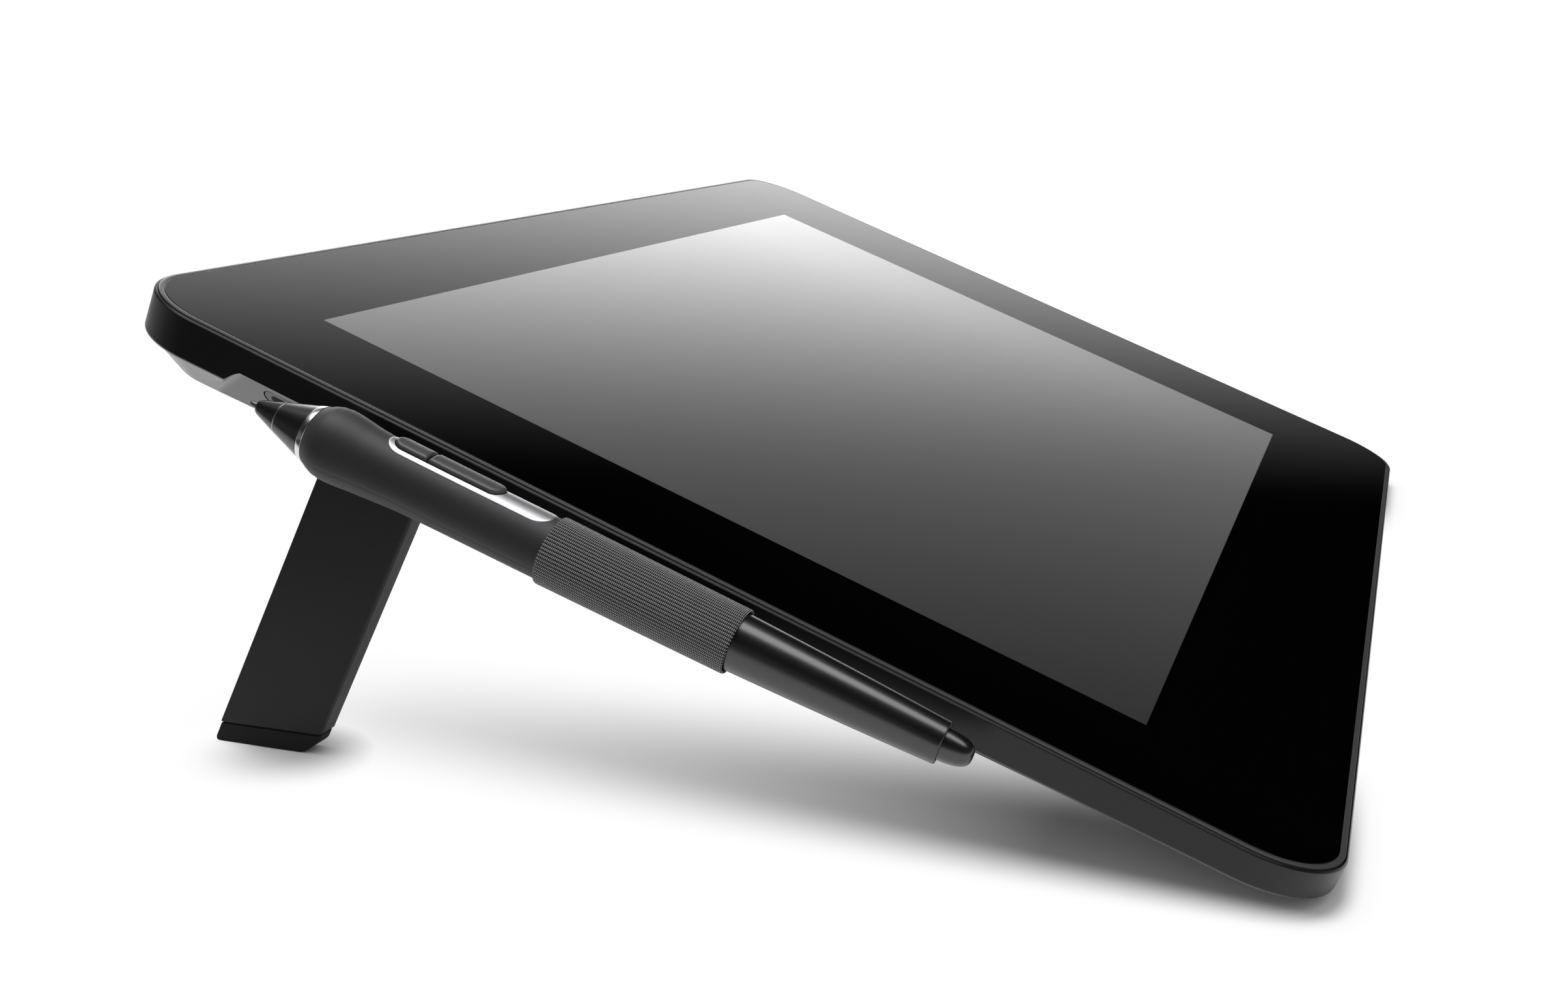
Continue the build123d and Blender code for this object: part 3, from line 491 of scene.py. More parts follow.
@dataclass(frozen=True)
class Finish:
    """A moulded, painted or metal finish. Sizes are in metres, colours are linear."""

    name: str
    colour: tuple[float, float, float]
    roughness: float = 0.5
    metallic: float = 0.0
    specular: float = 0.5
    grain_size: float = 0.0004
    grain_depth: float = 0.00001
    drift: float = 0.15
    marks: float = 0.04
    coat: float = 0.0
    coat_roughness: float = 0.1
    sheen: float = 0.0
    stretch: tuple[float, float, float] = (1.0, 1.0, 1.0)
    under: Optional[tuple[float, float]] = None

    def build(self, effects: Effects) -> bpy.types.Material:
        """Makes the material.

        Args:
            effects: the shared groups.

        Returns:
            The material.
        """
        material = bpy.data.materials.new(self.name)
        material.use_nodes = True
        tree = Tree(material.node_tree)
        shader = material.node_tree.nodes["Principled BSDF"]
        place = tree.add("ShaderNodeTexCoord")
        mapping = tree.add("ShaderNodeMapping")
        tree.feed(mapping, Vector=place.outputs["Object"], Scale=self.stretch)
        grain = tree.add("ShaderNodeGroup", node_tree=effects.grain)
        tree.feed(grain, Vector=mapping.outputs[0], Grain_Size=self.grain_size)
        wear = tree.add("ShaderNodeGroup", node_tree=effects.wear)
        tree.feed(wear, Vector=place.outputs["Object"])
        dark = (*[c * (1 - self.drift) for c in self.colour], 1)
        light = (*[c * (1 + self.drift) for c in self.colour], 1)
        colour = tree.mixed(grain.outputs["Drift"], dark, light)
        rough = tree.math("MULTIPLY_ADD", wear.outputs["Mark"], self.marks, self.roughness)
        bump = tree.add("ShaderNodeBump")
        tree.feed(bump, Strength=1.0, Distance=self.grain_depth, Height=grain.outputs["Height"])
        tree.feed(shader, Base_Color=colour, Roughness=rough, Normal=bump.outputs[0])
        tree.feed(shader, Metallic=self.metallic, Specular_IOR_Level=self.specular)
        tree.feed(shader, Coat_Weight=self.coat, Coat_Roughness=self.coat_roughness, Sheen_Weight=self.sheen)
        if self.under:
            self.polish_under(tree, shader, rough)
        return material

    def polish_under(self, tree: Tree, shader: bpy.types.Node, rough: bpy.types.NodeSocket) -> None:
        """Gives the faces that look down, away from the glass, a smoother mould finish.

        Args:
            tree: the material's tree.
            shader: its surface shader.
            rough: the roughness elsewhere.
        """
        under_rough, under_specular = self.under
        surface = tree.add("ShaderNodeNewGeometry")
        facing = tree.add("ShaderNodeVectorMath", operation="DOT_PRODUCT")
        tree.feed(facing, i0=surface.outputs["True Normal"], i1=-tilted(Vector(), Layout.tilt_deg).z)
        edge = tree.add("ShaderNodeMapRange", interpolation_type="SMOOTHSTEP")
        down = tree.feed(edge, Value=facing.outputs["Value"], From_Min=0.2, From_Max=0.6).outputs[0]
        smoother = tree.math("MULTIPLY_ADD", down, under_rough - self.roughness, rough)
        brighter = tree.math("MULTIPLY_ADD", down, under_specular - self.specular, self.specular)
        tree.feed(shader, Roughness=smoother, Specular_IOR_Level=brighter)


@dataclass(frozen=True)
class ScreenFinish:
    """The front glass: black print round a window where the switched-off panel shows."""

    name: str = "cover_glass_over_panel"
    border_near: float = 34.7
    border_far: float = 55.3
    border_low: float = 45.9
    border_raised: float = 31.5
    print_colour: tuple[float, float, float] = (0.0008, 0.0008, 0.0009)
    panel_level: float = 0.06
    panel_glare: float = 5.8
    panel_glare_power: float = 8.0
    panel_roughness: float = 0.4
    print_roughness: float = 0.03

    def build(self, effects: Effects, layout: Layout) -> bpy.types.Material:
        """Makes the material.

        Args:
            effects: the shared groups.
            layout: the shared sizes.

        Returns:
            The material.
        """
        deck = layout.deck
        middle = deck.at((self.border_near - self.border_far) / 2, (self.border_low - self.border_raised) / 2, 0)
        material = bpy.data.materials.new(self.name)
        material.use_nodes = True
        tree = Tree(material.node_tree)
        shader = material.node_tree.nodes["Principled BSDF"]
        place = tree.add("ShaderNodeTexCoord")
        mapping = tree.add("ShaderNodeMapping", vector_type="TEXTURE")
        turned = (math.radians(layout.tilt_deg), 0, 0)
        tree.feed(mapping, Vector=place.outputs["Object"], Location=middle * MM, Rotation=turned)
        window = tree.add("ShaderNodeGroup", node_tree=effects.frame)
        half_length = (layout.length - self.border_near - self.border_far) / 2 * MM
        half_width = (layout.width - self.border_low - self.border_raised) / 2 * MM
        tree.feed(window, Vector=mapping.outputs[0], Half_Length=half_length, Half_Width=half_width, Softness=0.0002)
        inside = window.outputs[0]
        wear = tree.add("ShaderNodeGroup", node_tree=effects.wear)
        tree.feed(wear, Vector=place.outputs["Object"], Mark_Size=0.09)
        smeared = tree.math("MULTIPLY_ADD", wear.outputs["Mark"], 0.004, self.print_roughness)
        tree.feed(shader, Base_Color=(*self.print_colour, 1), Roughness=smeared, IOR=1.5)
        slant = tree.feed(tree.add("ShaderNodeLayerWeight"), Blend=0.5).outputs["Facing"]
        glare = tree.math("POWER", slant, self.panel_glare_power)
        level = tree.math("MULTIPLY_ADD", glare, self.panel_glare, self.panel_level)
        level = tree.math("MULTIPLY", inside, tree.math("MINIMUM", level, 1.0))
        tint = tree.feed(tree.add("ShaderNodeCombineColor"), Red=level, Green=level, Blue=level)
        panel = tree.add("ShaderNodeBsdfGlossy", distribution="GGX")
        tree.feed(panel, Color=tint.outputs[0], Roughness=self.panel_roughness)
        both = tree.feed(tree.add("ShaderNodeAddShader"), i0=shader.outputs[0], i1=panel.outputs[0])
        tree.feed(material.node_tree.nodes["Material Output"], Surface=both.outputs[0])
        return material


@dataclass(frozen=True)
class YarnFinish:
    """Ribbed elastic: twisted yarn along each rib, on the rib's own map; the light grey on the yarn's crests is a
    painted sheen.
    """

    name: str = "elastic_yarn"
    dark: tuple[float, float, float] = (0.003, 0.003, 0.0032)
    # light is a painted sheen: the crest colour of black yarn, lightened to stand in for its highlights.
    light: tuple[float, float, float] = (0.42, 0.42, 0.425)
    twist_pitch: float = 0.00038

    def build(self, rib_length: float) -> bpy.types.Material:
        """Makes the material.

        Args:
            rib_length: the length that the map's first axis spans, in metres.

        Returns:
            The material.
        """
        material = bpy.data.materials.new(self.name)
        material.use_nodes = True
        tree = Tree(material.node_tree)
        shader = material.node_tree.nodes["Principled BSDF"]
        skin = tree.add("ShaderNodeUVMap", uv_map="yarn")
        axes = tree.add("ShaderNodeSeparateXYZ")
        tree.feed(axes, Vector=skin.outputs[0])
        turns = tree.math("MULTIPLY", axes.outputs[0], rib_length / self.twist_pitch)
        phase = tree.math("ADD", turns, tree.math("MULTIPLY", axes.outputs[1], 1.0))
        wave = tree.math("SINE", tree.math("MULTIPLY", phase, 2 * math.pi))
        lifted = tree.math("MULTIPLY_ADD", wave, 0.5, 0.5)
        peak = tree.math("POWER", lifted, 2.2)
        noise = tree.add("ShaderNodeTexNoise", noise_dimensions="2D")
        tree.feed(noise, Vector=skin.outputs[0], Scale=60.0, Detail=3.0)
        share = tree.math("MULTIPLY", peak, tree.math("MULTIPLY_ADD", noise.outputs[0], 0.6, 0.65))
        bump = tree.add("ShaderNodeBump")
        tree.feed(bump, Strength=1.0, Distance=0.00012, Height=peak)
        # The twist stripes are the yarn's pattern; colouring their crests with the light grey paints a sheen into the
        # colour.
        colour = tree.mixed(share, (*self.dark, 1), (*self.light, 1))
        tree.feed(shader, Base_Color=colour, Roughness=0.42, Normal=bump.outputs[0])
        tree.feed(shader, Specular_IOR_Level=0.5)
        return material


class Kit:
    """The finishes, built once, and the way in which a piece gets one."""

    FINISHES = (
        Finish(
            "casing_black", (0.003, 0.003, 0.0032), 0.36, specular=0.45, grain_depth=0.000012, under=(0.24, 1.0)
        ),
        Finish("rim_grey", (0.05, 0.05, 0.052), 0.34, specular=0.5, grain_depth=0.000004),
        Finish("leg_black", (0.006, 0.006, 0.0063), 0.55, specular=0.32, grain_depth=0.000015),
        Finish("foot_rubber", (0.007, 0.007, 0.0072), 0.75, specular=0.25, grain_depth=0.00002),
        Finish("pen_satin", (0.004, 0.004, 0.0042), 0.27, specular=0.95, grain_depth=0.000004),
        Finish("tip_satin", (0.006, 0.006, 0.0063), 0.27, specular=0.85, grain_depth=0.000004),
        Finish("nib_grey", (0.16, 0.16, 0.165), 0.3, metallic=0.7, grain_depth=0.000002),
        Finish("seam_bright", (0.6, 0.6, 0.61), 0.3, metallic=1.0, grain_depth=0.000002),
        Finish("ring_bright", (0.8, 0.8, 0.81), 0.24, metallic=1.0, grain_depth=0.000001, marks=0.05),
        Finish("grip_soft", (0.013, 0.013, 0.0135), 0.58, specular=0.45, sheen=0.08, grain_depth=0.000012),
        Finish("plate_silver", (0.48, 0.48, 0.49), 0.42, metallic=1.0, grain_depth=0.000002, marks=0.06),
        Finish("switch_grey", (0.045, 0.045, 0.047), 0.46, specular=0.5, grain_depth=0.000004),
        Finish("elastic_base", (0.002, 0.002, 0.0021), 0.9, specular=0.2, grain_size=0.0007, grain_depth=0.0001),
        Finish("lock_insert", (0.07, 0.07, 0.072), 0.45, specular=0.5, grain_depth=0.000008),
        Finish("screw_black", (0.02, 0.02, 0.02), 0.4, metallic=0.7, grain_depth=0.000003),
        Finish("pin_steel", (0.5, 0.5, 0.51), 0.3, metallic=1.0, stretch=(1, 6, 1), grain_depth=0.000002),
        Finish("sheet_steel", (0.55, 0.55, 0.56), 0.36, metallic=1.0, stretch=(8, 1, 1), grain_depth=0.000003),
        Finish("sheet_aluminium", (0.7, 0.7, 0.71), 0.32, metallic=1.0, stretch=(1, 8, 1), grain_depth=0.000003),
        Finish("board_green", (0.01, 0.07, 0.025), 0.4, grain_size=0.002, drift=0.3),
        Finish("chip_black", (0.015, 0.015, 0.015), 0.55, drift=0.2),
        Finish("panel_dark", (0.012, 0.012, 0.014), 0.2),
        Finish("acrylic_clear", (0.75, 0.78, 0.8), 0.12, drift=0.03),
        Finish("lamp_white", (0.8, 0.8, 0.74), 0.4, drift=0.04),
        Finish("coil_copper", (0.5, 0.2, 0.09), 0.3, metallic=1.0, stretch=(1, 1, 12)),
    )

    def __init__(self, layout: Layout) -> None:
        """Builds every finish."""
        self.layout = layout
        self.effects = Effects()
        self.finishes = {finish.name: finish.build(self.effects) for finish in self.FINISHES}

    def make(
        self, mesh: bpy.types.Mesh, place: Place, finish: str | bpy.types.Material, body: Body,
        slot: str, nodes: Sequence[str] = (), smooth_deg: float = 32.0
    ) -> bpy.types.Object:
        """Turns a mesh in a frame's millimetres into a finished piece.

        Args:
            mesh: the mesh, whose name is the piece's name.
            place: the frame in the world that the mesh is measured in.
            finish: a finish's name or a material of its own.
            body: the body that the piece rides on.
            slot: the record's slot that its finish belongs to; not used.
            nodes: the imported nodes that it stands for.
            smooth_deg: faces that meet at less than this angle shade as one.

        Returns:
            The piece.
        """
        mesh.transform(place.matrix())
        material = self.finishes[finish] if isinstance(finish, str) else finish
        mesh.materials.clear()
        mesh.materials.append(material)
        mesh.polygons.foreach_set("material_index", [0] * len(mesh.polygons))
        mesh.shade_smooth()
        mesh.set_sharp_from_angle(angle=math.radians(smooth_deg))
        rough = placed(mesh)
        even = rough.modifiers.new("even_normals", "WEIGHTED_NORMAL")
        even.keep_sharp = True
        thing = placed(baked(rough))
        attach(thing, body.value)
        if nodes:
            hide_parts(*nodes)
        LOG.info("%s: %d faces on %s", thing.name, len(mesh.polygons), body.value)
        return thing

    def dress(self, node: bpy.types.Object, finish: str) -> None:
        """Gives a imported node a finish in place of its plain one."""
        node.data.materials.clear()
        node.data.materials.append(self.finishes[finish])
        node.data.shade_smooth()
        node.data.set_sharp_from_angle(angle=math.radians(30))
        LOG.info("%s dressed in %s", node.name, finish)


class Spread:
    """Geometry Nodes trees that repeat a piece."""

    def __init__(self) -> None:
        """Builds the two trees."""
        self.around = self._around()
        self.over = self._over()

    def _start(self, name: str, numbers: dict[str, tuple[str, float]]) -> tuple[bpy.types.NodeTree, Tree]:
        """A tree with a geometry going in and out, and named numbers."""
        group = bpy.data.node_groups.new(name, "GeometryNodeTree")
        group.interface.new_socket("Geometry", in_out="INPUT", socket_type="NodeSocketGeometry")
        for key, (kind, value) in numbers.items():
            socket = group.interface.new_socket(key, in_out="INPUT", socket_type=kind)
            socket.default_value = value
        group.interface.new_socket("Finish", in_out="INPUT", socket_type="NodeSocketMaterial")
        group.interface.new_socket("Geometry", in_out="OUTPUT", socket_type="NodeSocketGeometry")
        return group, Tree(group)

    def _finish(self, tree: Tree, source: bpy.types.Node, copies: bpy.types.NodeSocket) -> None:
        """Ends a tree with plain geometry and a material."""
        plain = tree.feed(tree.add("GeometryNodeRealizeInstances"), Geometry=copies)
        dressed = tree.feed(
            tree.add("GeometryNodeSetMaterial"), Geometry=plain.outputs[0], Material=source.outputs["Finish"]
        )
        tree.feed(tree.add("NodeGroupOutput"), Geometry=dressed.outputs[0])

    def _around(self) -> bpy.types.NodeTree:
        """Copies of a piece turned about the first axis, from one angle on, a step apart."""
        group, tree = self._start(
            "copies_around_axis",
            {
                "Count": ("NodeSocketInt", 8),
                "First Angle": ("NodeSocketFloat", 0.0),
                "Step Angle": ("NodeSocketFloat", 0.1),
            },
        )
        source = tree.add("NodeGroupInput")
        line = tree.add("GeometryNodeMeshLine", mode="OFFSET")
        tree.feed(line, Count=source.outputs["Count"], Offset=(0.0, 0.0, 0.0))
        number = tree.add("GeometryNodeInputIndex")
        step = tree.math("MULTIPLY", number.outputs[0], source.outputs["Step Angle"])
        angle = tree.math("ADD", step, source.outputs["First Angle"])
        turn = tree.feed(tree.add("ShaderNodeCombineXYZ"), X=angle)
        copies = tree.add("GeometryNodeInstanceOnPoints")
        tree.feed(
            copies, Points=line.outputs[0], Instance=source.outputs["Geometry"], Rotation=turn.outputs[0]
        )
        self._finish(tree, source, copies.outputs[0])
        return group

    def _over(self) -> bpy.types.NodeTree:
        """Copies of a piece on the points of another object."""
        group, tree = self._start("copies_over_points", {"Turn": ("NodeSocketFloat", 0.0)})
        group.interface.new_socket("Places", in_out="INPUT", socket_type="NodeSocketObject")
        source = tree.add("NodeGroupInput")
        places = tree.add("GeometryNodeObjectInfo", transform_space="RELATIVE")
        tree.feed(places, Object=source.outputs["Places"])
        number = tree.add("GeometryNodeInputIndex")
        angle = tree.math("MULTIPLY", number.outputs[0], source.outputs["Turn"])
        turn = tree.feed(tree.add("ShaderNodeCombineXYZ"), Z=angle)
        copies = tree.add("GeometryNodeInstanceOnPoints")
        tree.feed(
            copies, Points=places.outputs["Geometry"], Instance=source.outputs["Geometry"],
            Rotation=turn.outputs[0]
        )
        self._finish(tree, source, copies.outputs[0])
        return group

    def run(self, group: bpy.types.NodeTree, piece: bpy.types.Mesh, **values: object) -> bpy.types.Mesh:
        """Runs a tree on a mesh and returns the plain result.

        Args:
            group: the tree.
            piece: the mesh that is repeated.
            values: the tree's inputs, named with _ for a space.

        Returns:
            The mesh with all its copies.
        """
        thing = placed(piece)
        change = thing.modifiers.new("copies", "NODES")
        change.node_group = group
        sockets = {item.name: item.identifier for item in group.interface.items_tree if item.in_out == "INPUT"}
        for name, value in values.items():
            change[sockets[name.replace("_", " ")]] = value
        return baked(thing)


@dataclass
class Casing:
    """The glass, the ring round it and the rear cover with its recess, pockets and openings."""

    kit: Kit
    layout: Layout
    spread: Spread
    rim_gap: float = 0.1
    ring_gap: float = 0.03
    edge_round: float = 0.9
    cavity_depth: float = 9.2
    cavity_inset: float = 2.6
    board_cavity: tuple[float, float, float, float] = (-80.0, 80.0, 56.0, 139.0)
    board_cavity_depth: float = 14.2
    recess_roof_w: float = -6.4
    recess_roof_width: float = 0.7
    recess_face_u: float = 11.5
    recess_face_w: float = -18.5
    recess_high_v: float = 111.9
    recess_high_w: float = -10.2
    recess_end_run: float = 1.057
    recess_low_v: float = 46.0
    recess_wall: float = 1.6
    recess_corner: float = 1.8
    lock_v: float = 97.5
    lock_size: Point = (11.0, 5.6)
    lock_hole: Point = (7.0, 3.0)
    lock_share: float = 0.3
    lock_depth: float = 2.2
    screw_spots: tuple[Point, ...] = (
        (-172.0, -88.0), (-172.0, -10.0), (-86.0, 108.0), (0.0, -88.0), (86.0, 108.0), (172.0, -10.0), (172.0, -88.0)
    )
    screw_head: float = 2.7
    screw_seat_w: float = -12.6
    socket_w: float = -6.9
    socket_size: Point = (24.2, 5.2)
    button_u: float = 48.0
    button_size: Point = (12.2, 3.2)
    light_u: float = 60.0
    anchor_v: float = 2.208
    anchor_w: float = -4.85
    anchor_size: Point = (38.0, 3.0)

    def row(self, inset: float, height: Callable[[float], float]) -> Row:
        """One ring of the casing's outline at a height."""
        return [Vector((u, v, height(v))) for u, v in self.layout.outline(inset)]

    def level(self, w: float) -> Callable[[float], float]:
        """A height that is the same all round."""
        return lambda v: w

    def glass(self) -> None:
        """The flat glass with its polished, rounded edge."""
        lay = self.layout
        edge = 0.06
        rows = [self.row(lay.glass_inset, self.level(-lay.glass_thickness))]
        for step in range(6):
            angle = math.radians(90 * step / 5)
            inset = lay.glass_inset + edge * (1 - math.cos(angle))
            rows.append(self.row(inset, self.level(-edge + edge * math.sin(angle))))
        finish = ScreenFinish().build(self.kit.effects, lay)
        self.kit.make(loft("glass_plate", rows), lay.deck, finish, Body.CASING, "cover_glass", ["glass_cover"])

    def ring(self) -> None:
        """The rounded ring between the glass and the lip, with the flange that carries the glass."""
        lay = self.layout
        outer = lay.lip + self.rim_gap
        inner = lay.glass_inset - self.ring_gap
        back = -lay.glass_thickness - lay.rim_thickness
        crown = 0.1
        rows = [self.row(outer, self.level(back))]
        for step in range(7):
            angle = math.radians(180 * step / 6)
            middle = (outer + inner) / 2
            inset = middle - (inner - outer) / 2 * math.cos(angle)
            rows.append(self.row(inset, self.level(-0.03 - crown + crown * math.sin(angle))))
        rows.append(self.row(inner, self.level(-lay.glass_thickness)))
        screen = ScreenFinish()
        margin = 6.0
        length = lay.length - screen.border_near - screen.border_far + 2 * margin
        width = lay.width - screen.border_low - screen.border_raised + 2 * margin
        centre = ((screen.border_near - screen.border_far) / 2, (screen.border_low - screen.border_raised) / 2)
        steps = len(lay.outline(0)) // 4 - 1
        opening = rounded_outline(length, width, 1.0, steps, centre)
        rows.append([Vector((u, v, -lay.glass_thickness)) for u, v in opening])
        rows.append([Vector((u, v, back)) for u, v in opening])
        mesh = loft("front_ring", rows, ring=True)
        self.kit.make(mesh, lay.deck, "rim_grey", Body.CASING, "rim_grey", ["front_rim"])

    def shell_form(self) -> bpy.types.Mesh:
        """The rear cover's closed outer form with its lip, chamfer, wall and skirt."""
        lay = self.layout
        side = lay.plane(lay.side_depth, lay.side_wedge_deg)
        haunch = lay.plane(lay.haunch_depth, lay.haunch_wedge_deg)
        back = lay.plane(lay.back_depth, lay.back_wedge_deg)
        top = -lay.lip_drop
        rows = [self.row(lay.lip, self.level(-lay.glass_thickness - lay.rim_thickness))]
        lip_profile = (
            (lay.lip, top - 0.1), (lay.lip - 0.03, top - 0.03), (lay.lip - 0.1, top), (0.42, top), (0.36, top - 0.02),
            (0.06, top - 0.33), (0.015, top - 0.4), (0.0, top - 0.5)
        )
        rows += [self.row(inset, self.level(w)) for inset, w in lip_profile]
        radius = self.edge_round
        for step in range(6):
            angle = math.radians(72 * step / 5)
            inset = radius * (1 - math.cos(angle))
            rise = radius * (1 - math.sin(angle))
            rows.append(self.row(inset, lambda v, rise=rise: side(v) + rise))
        for share in (0.12, 0.3, 0.5, 0.7, 0.85, 0.94):
            rows.append(self.blend_row(side, haunch, 1.4, lay.haunch_inset, share, 0.0))
        for share, drop in ((0.0, -0.12), (0.07, -0.06), (0.2, 0.0), (0.5, 0.0), (0.8, 0.0), (0.93, -0.06), (1.0, -0.22)):
            rows.append(self.blend_row(haunch, back, lay.haunch_inset, lay.back_inset, share, drop))
        rows.append(self.row(lay.back_inset + 1.6, lambda v: back(v) + 0.03))
        rows.append(self.row(lay.back_inset + 3.0, back))
        return loft("casing_shell", rows)

    def blend_row(
        self, upper: Callable[[float], float], lower: Callable[[float], float],
        start: float, end: float, share: float, drop: float
    ) -> Row:
        """A ring between two underside planes, lifted a little where an edge is rounded."""
        height = lambda v: upper(v) + (lower(v) - upper(v)) * share - drop
        return self.row(start + (end - start) * share, height)

    def recess(self) -> bpy.types.Mesh:
        """The scooped recess in the near side, as a solid that is cut away."""
        half = self.layout.half_length
        outside = -(half + OVERRUN)
        bottom = self.recess_face_w - OVERRUN * 2
        side = [
            (outside, self.recess_roof_w),
            (self.recess_roof_width - half, self.recess_roof_w),
            (self.recess_face_u - half, self.recess_face_w),
            (self.recess_face_u - half, bottom),
            (outside, bottom),
        ]
        top_v = self.recess_high_v - (self.recess_roof_w - self.recess_high_w) / self.recess_end_run
        deep_v = self.recess_high_v + (self.recess_high_w - bottom) / self.recess_end_run
        front = [
            (self.recess_low_v, self.recess_roof_w),
            (top_v, self.recess_roof_w),
            (deep_v, bottom),
            (self.recess_low_v - (self.recess_roof_w - bottom) / self.recess_end_run, bottom),
        ]
        along = Place(Vector((0, 0, 0)), Vector((0, 1, 0)), Vector((0, 0, 1)), Vector((1, 0, 0)))
        across = Place(Vector((0, 0, 0)), Vector((1, 0, 0)), Vector((0, 0, 1)), Vector((0, 1, 0)))
        first = prism("recess", front, along, outside, self.recess_face_u - half)
        second = prism("recess_side", side, across, self.recess_low_v - OVERRUN * 8, deep_v + OVERRUN)
        middle_w = (self.recess_roof_w + self.recess_face_w) / 2

        def end_corner(middle: Vector) -> bool:
            return middle.x > self.recess_roof_width - half and abs(middle.z - middle_w) < 1.0

        return soften(cut(first, [second], "INTERSECT"), self.recess_corner, 7, end_corner)

    def lock_place(self) -> Place:
        """The frame of the lock's insert on the recess face, measured on the glass."""
        half = self.layout.half_length
        fall = Vector((self.recess_face_u - self.recess_roof_width, 0, self.recess_face_w - self.recess_roof_w))
        edge = Vector((self.recess_roof_width - half, self.lock_v, self.recess_roof_w))
        out = Vector((fall.z, 0, -fall.x)).normalized()
        slope = Vector((0, 1, 0))
        return Place(edge + fall * self.lock_share, slope, out.cross(slope), out)

    def wall_place(self, v: float) -> Place:
        """A frame that looks out of the raised wall: u across, w up, v outwards."""
        return Place(Vector((0, v, 0)), Vector((1, 0, 0)), Vector((0, 0, 1)), Vector((0, 1, 0)))

    def side_place(self, u: float) -> Place:
        """A frame that looks out of the near wall: v across, w up, u inwards."""
        return Place(Vector((u, 0, 0)), Vector((0, 1, 0)), Vector((0, 0, 1)), Vector((1, 0, 0)))

    def moved(self, points: Sequence[Point], a: float, b: float) -> list[Point]:
        """An outline moved in its plane."""
        return [(x + a, y + b) for x, y in points]

    def hollows(self, legs: "Legs") -> list[bpy.types.Mesh]:
        """Everything that is cut out of the rear cover."""
        lay = self.layout
        flat = Place(Vector((0, 0, 0)), Vector((1, 0, 0)), Vector((0, 1, 0)), Vector((0, 0, 1)))
        seat = -lay.glass_thickness - lay.rim_thickness
        inside = lay.outline(self.cavity_inset)
        left, right, low, high = self.board_cavity
        board = [(left, low), (right, low), (right, high), (left, high)]
        near = -lay.half_length
        backed = self.recess_face_u + self.recess_wall
        keep_low = self.recess_low_v - self.recess_wall
        keep_high = self.recess_high_v + self.recess_wall
        keep = [(near, keep_low), (near + backed, keep_low), (near + backed, keep_high), (near, keep_high)]
        backing = prism("recess_backing", keep, flat, self.recess_roof_w + self.recess_wall, -lay.back_depth)
        tools = [
            cut(prism("cavity", inside, flat, seat + OVERRUN, -self.cavity_depth), [backing]),
            prism("board_cavity", board, flat, -self.cavity_depth + 1.0, -self.board_cavity_depth),
            self.recess(),
            prism("lock_pocket", slot_outline(*self.lock_size), self.lock_place(), OVERRUN, -self.lock_depth),
        ]
        for side in Side:
            tools += legs.pocket_tools(side)
        outer = self.wall_place(lay.half_width)
        socket = rounded_outline(*self.socket_size, self.socket_size[1] / 3, 6)
        button = slot_outline(*self.button_size)
        tools += [
            prism("socket_hole", self.moved(socket, 0, self.socket_w), outer, OVERRUN, -13.0),
            prism("button_hole", self.moved(button, self.button_u, self.socket_w), outer, OVERRUN, -9.0),
            prism("light_hole", self.moved(slot_outline(2.0, 2.0, 5), self.light_u, self.socket_w), outer, OVERRUN, -9.0),
        ]
        anchor = self.moved(slot_outline(*self.anchor_size), self.anchor_v, self.anchor_w)
        tools.append(prism("anchor_hole", anchor, self.side_place(-lay.half_length), -OVERRUN, 3.2))
        for spot_u, spot_v in self.screw_spots:
            hole = self.moved(slot_outline(2 * self.screw_head + 0.3, 2 * self.screw_head + 0.3, 6), spot_u, spot_v)
            tools.append(prism("screw_hole", hole, flat, self.screw_seat_w, -lay.back_depth - OVERRUN * 3))
        return tools

    def shell(self, legs: "Legs") -> None:
        """The rear cover, cut and with the edges round its recess rounded."""
        lay = self.layout
        mesh = cut(self.shell_form(), self.hollows(legs))
        near = -lay.half_length + self.recess_face_u + 2

        def recess_edge(middle: Vector) -> bool:
            return middle.x < near and self.recess_low_v - 12 < middle.y < self.recess_high_v + 12 and middle.z < -6.0

        mesh = soften(mesh, 0.7, 4, recess_edge, 18)
        mesh.name = "casing_shell"
        self.kit.make(mesh, lay.deck, "casing_black", Body.CASING, "casing_black", ["rear_cover"], 30)

    def lock(self) -> None:
        """The oval insert in the recess, with the slot for a cable lock."""
        place = self.lock_place()
        gap = 0.18
        rows = []
        for inset, rise in ((0.0, -self.lock_depth), (0.0, -0.25), (0.1, -0.1), (0.3, -0.04)):
            size = [s - 2 * (gap + inset) for s in self.lock_size]
            rows.append([Vector((a, b, rise)) for a, b in slot_outline(*size)])
        oval = loft("lock_insert", rows)
        flat = Place(Vector((0, 0, 0)), Vector((1, 0, 0)), Vector((0, 1, 0)), Vector((0, 0, 1)))
        hole = prism("lock_hole", slot_outline(*self.lock_hole), flat, 1.0, -self.lock_depth * 0.8)
        mesh = soften(cut(oval, [hole]), 0.12, 2)
        mesh.name = "lock_insert"
        world = place.inside(self.layout.deck)
        self.kit.make(mesh, world, "lock_insert", Body.CASING, "lock_steel", ["lock_slot"])

    def button(self) -> None:
        """The power button in the raised wall."""
        lay = self.layout
        place = self.wall_place(lay.half_width).inside(lay.deck)
        rows = []
        for inset, rise in ((0.0, -2.5), (0.0, 0.2), (0.12, 0.4), (0.4, 0.5)):
            size = (12.0 - 2 * inset, 3.0 - 2 * inset)
            rows.append([Vector((a, b, rise)) for a, b in self.moved(slot_outline(*size), self.button_u, self.socket_w)])
        mesh = loft("power_key", rows)
        self.kit.make(mesh, place, "switch_grey", Body.BUTTON, "button_black", ["power_button"])

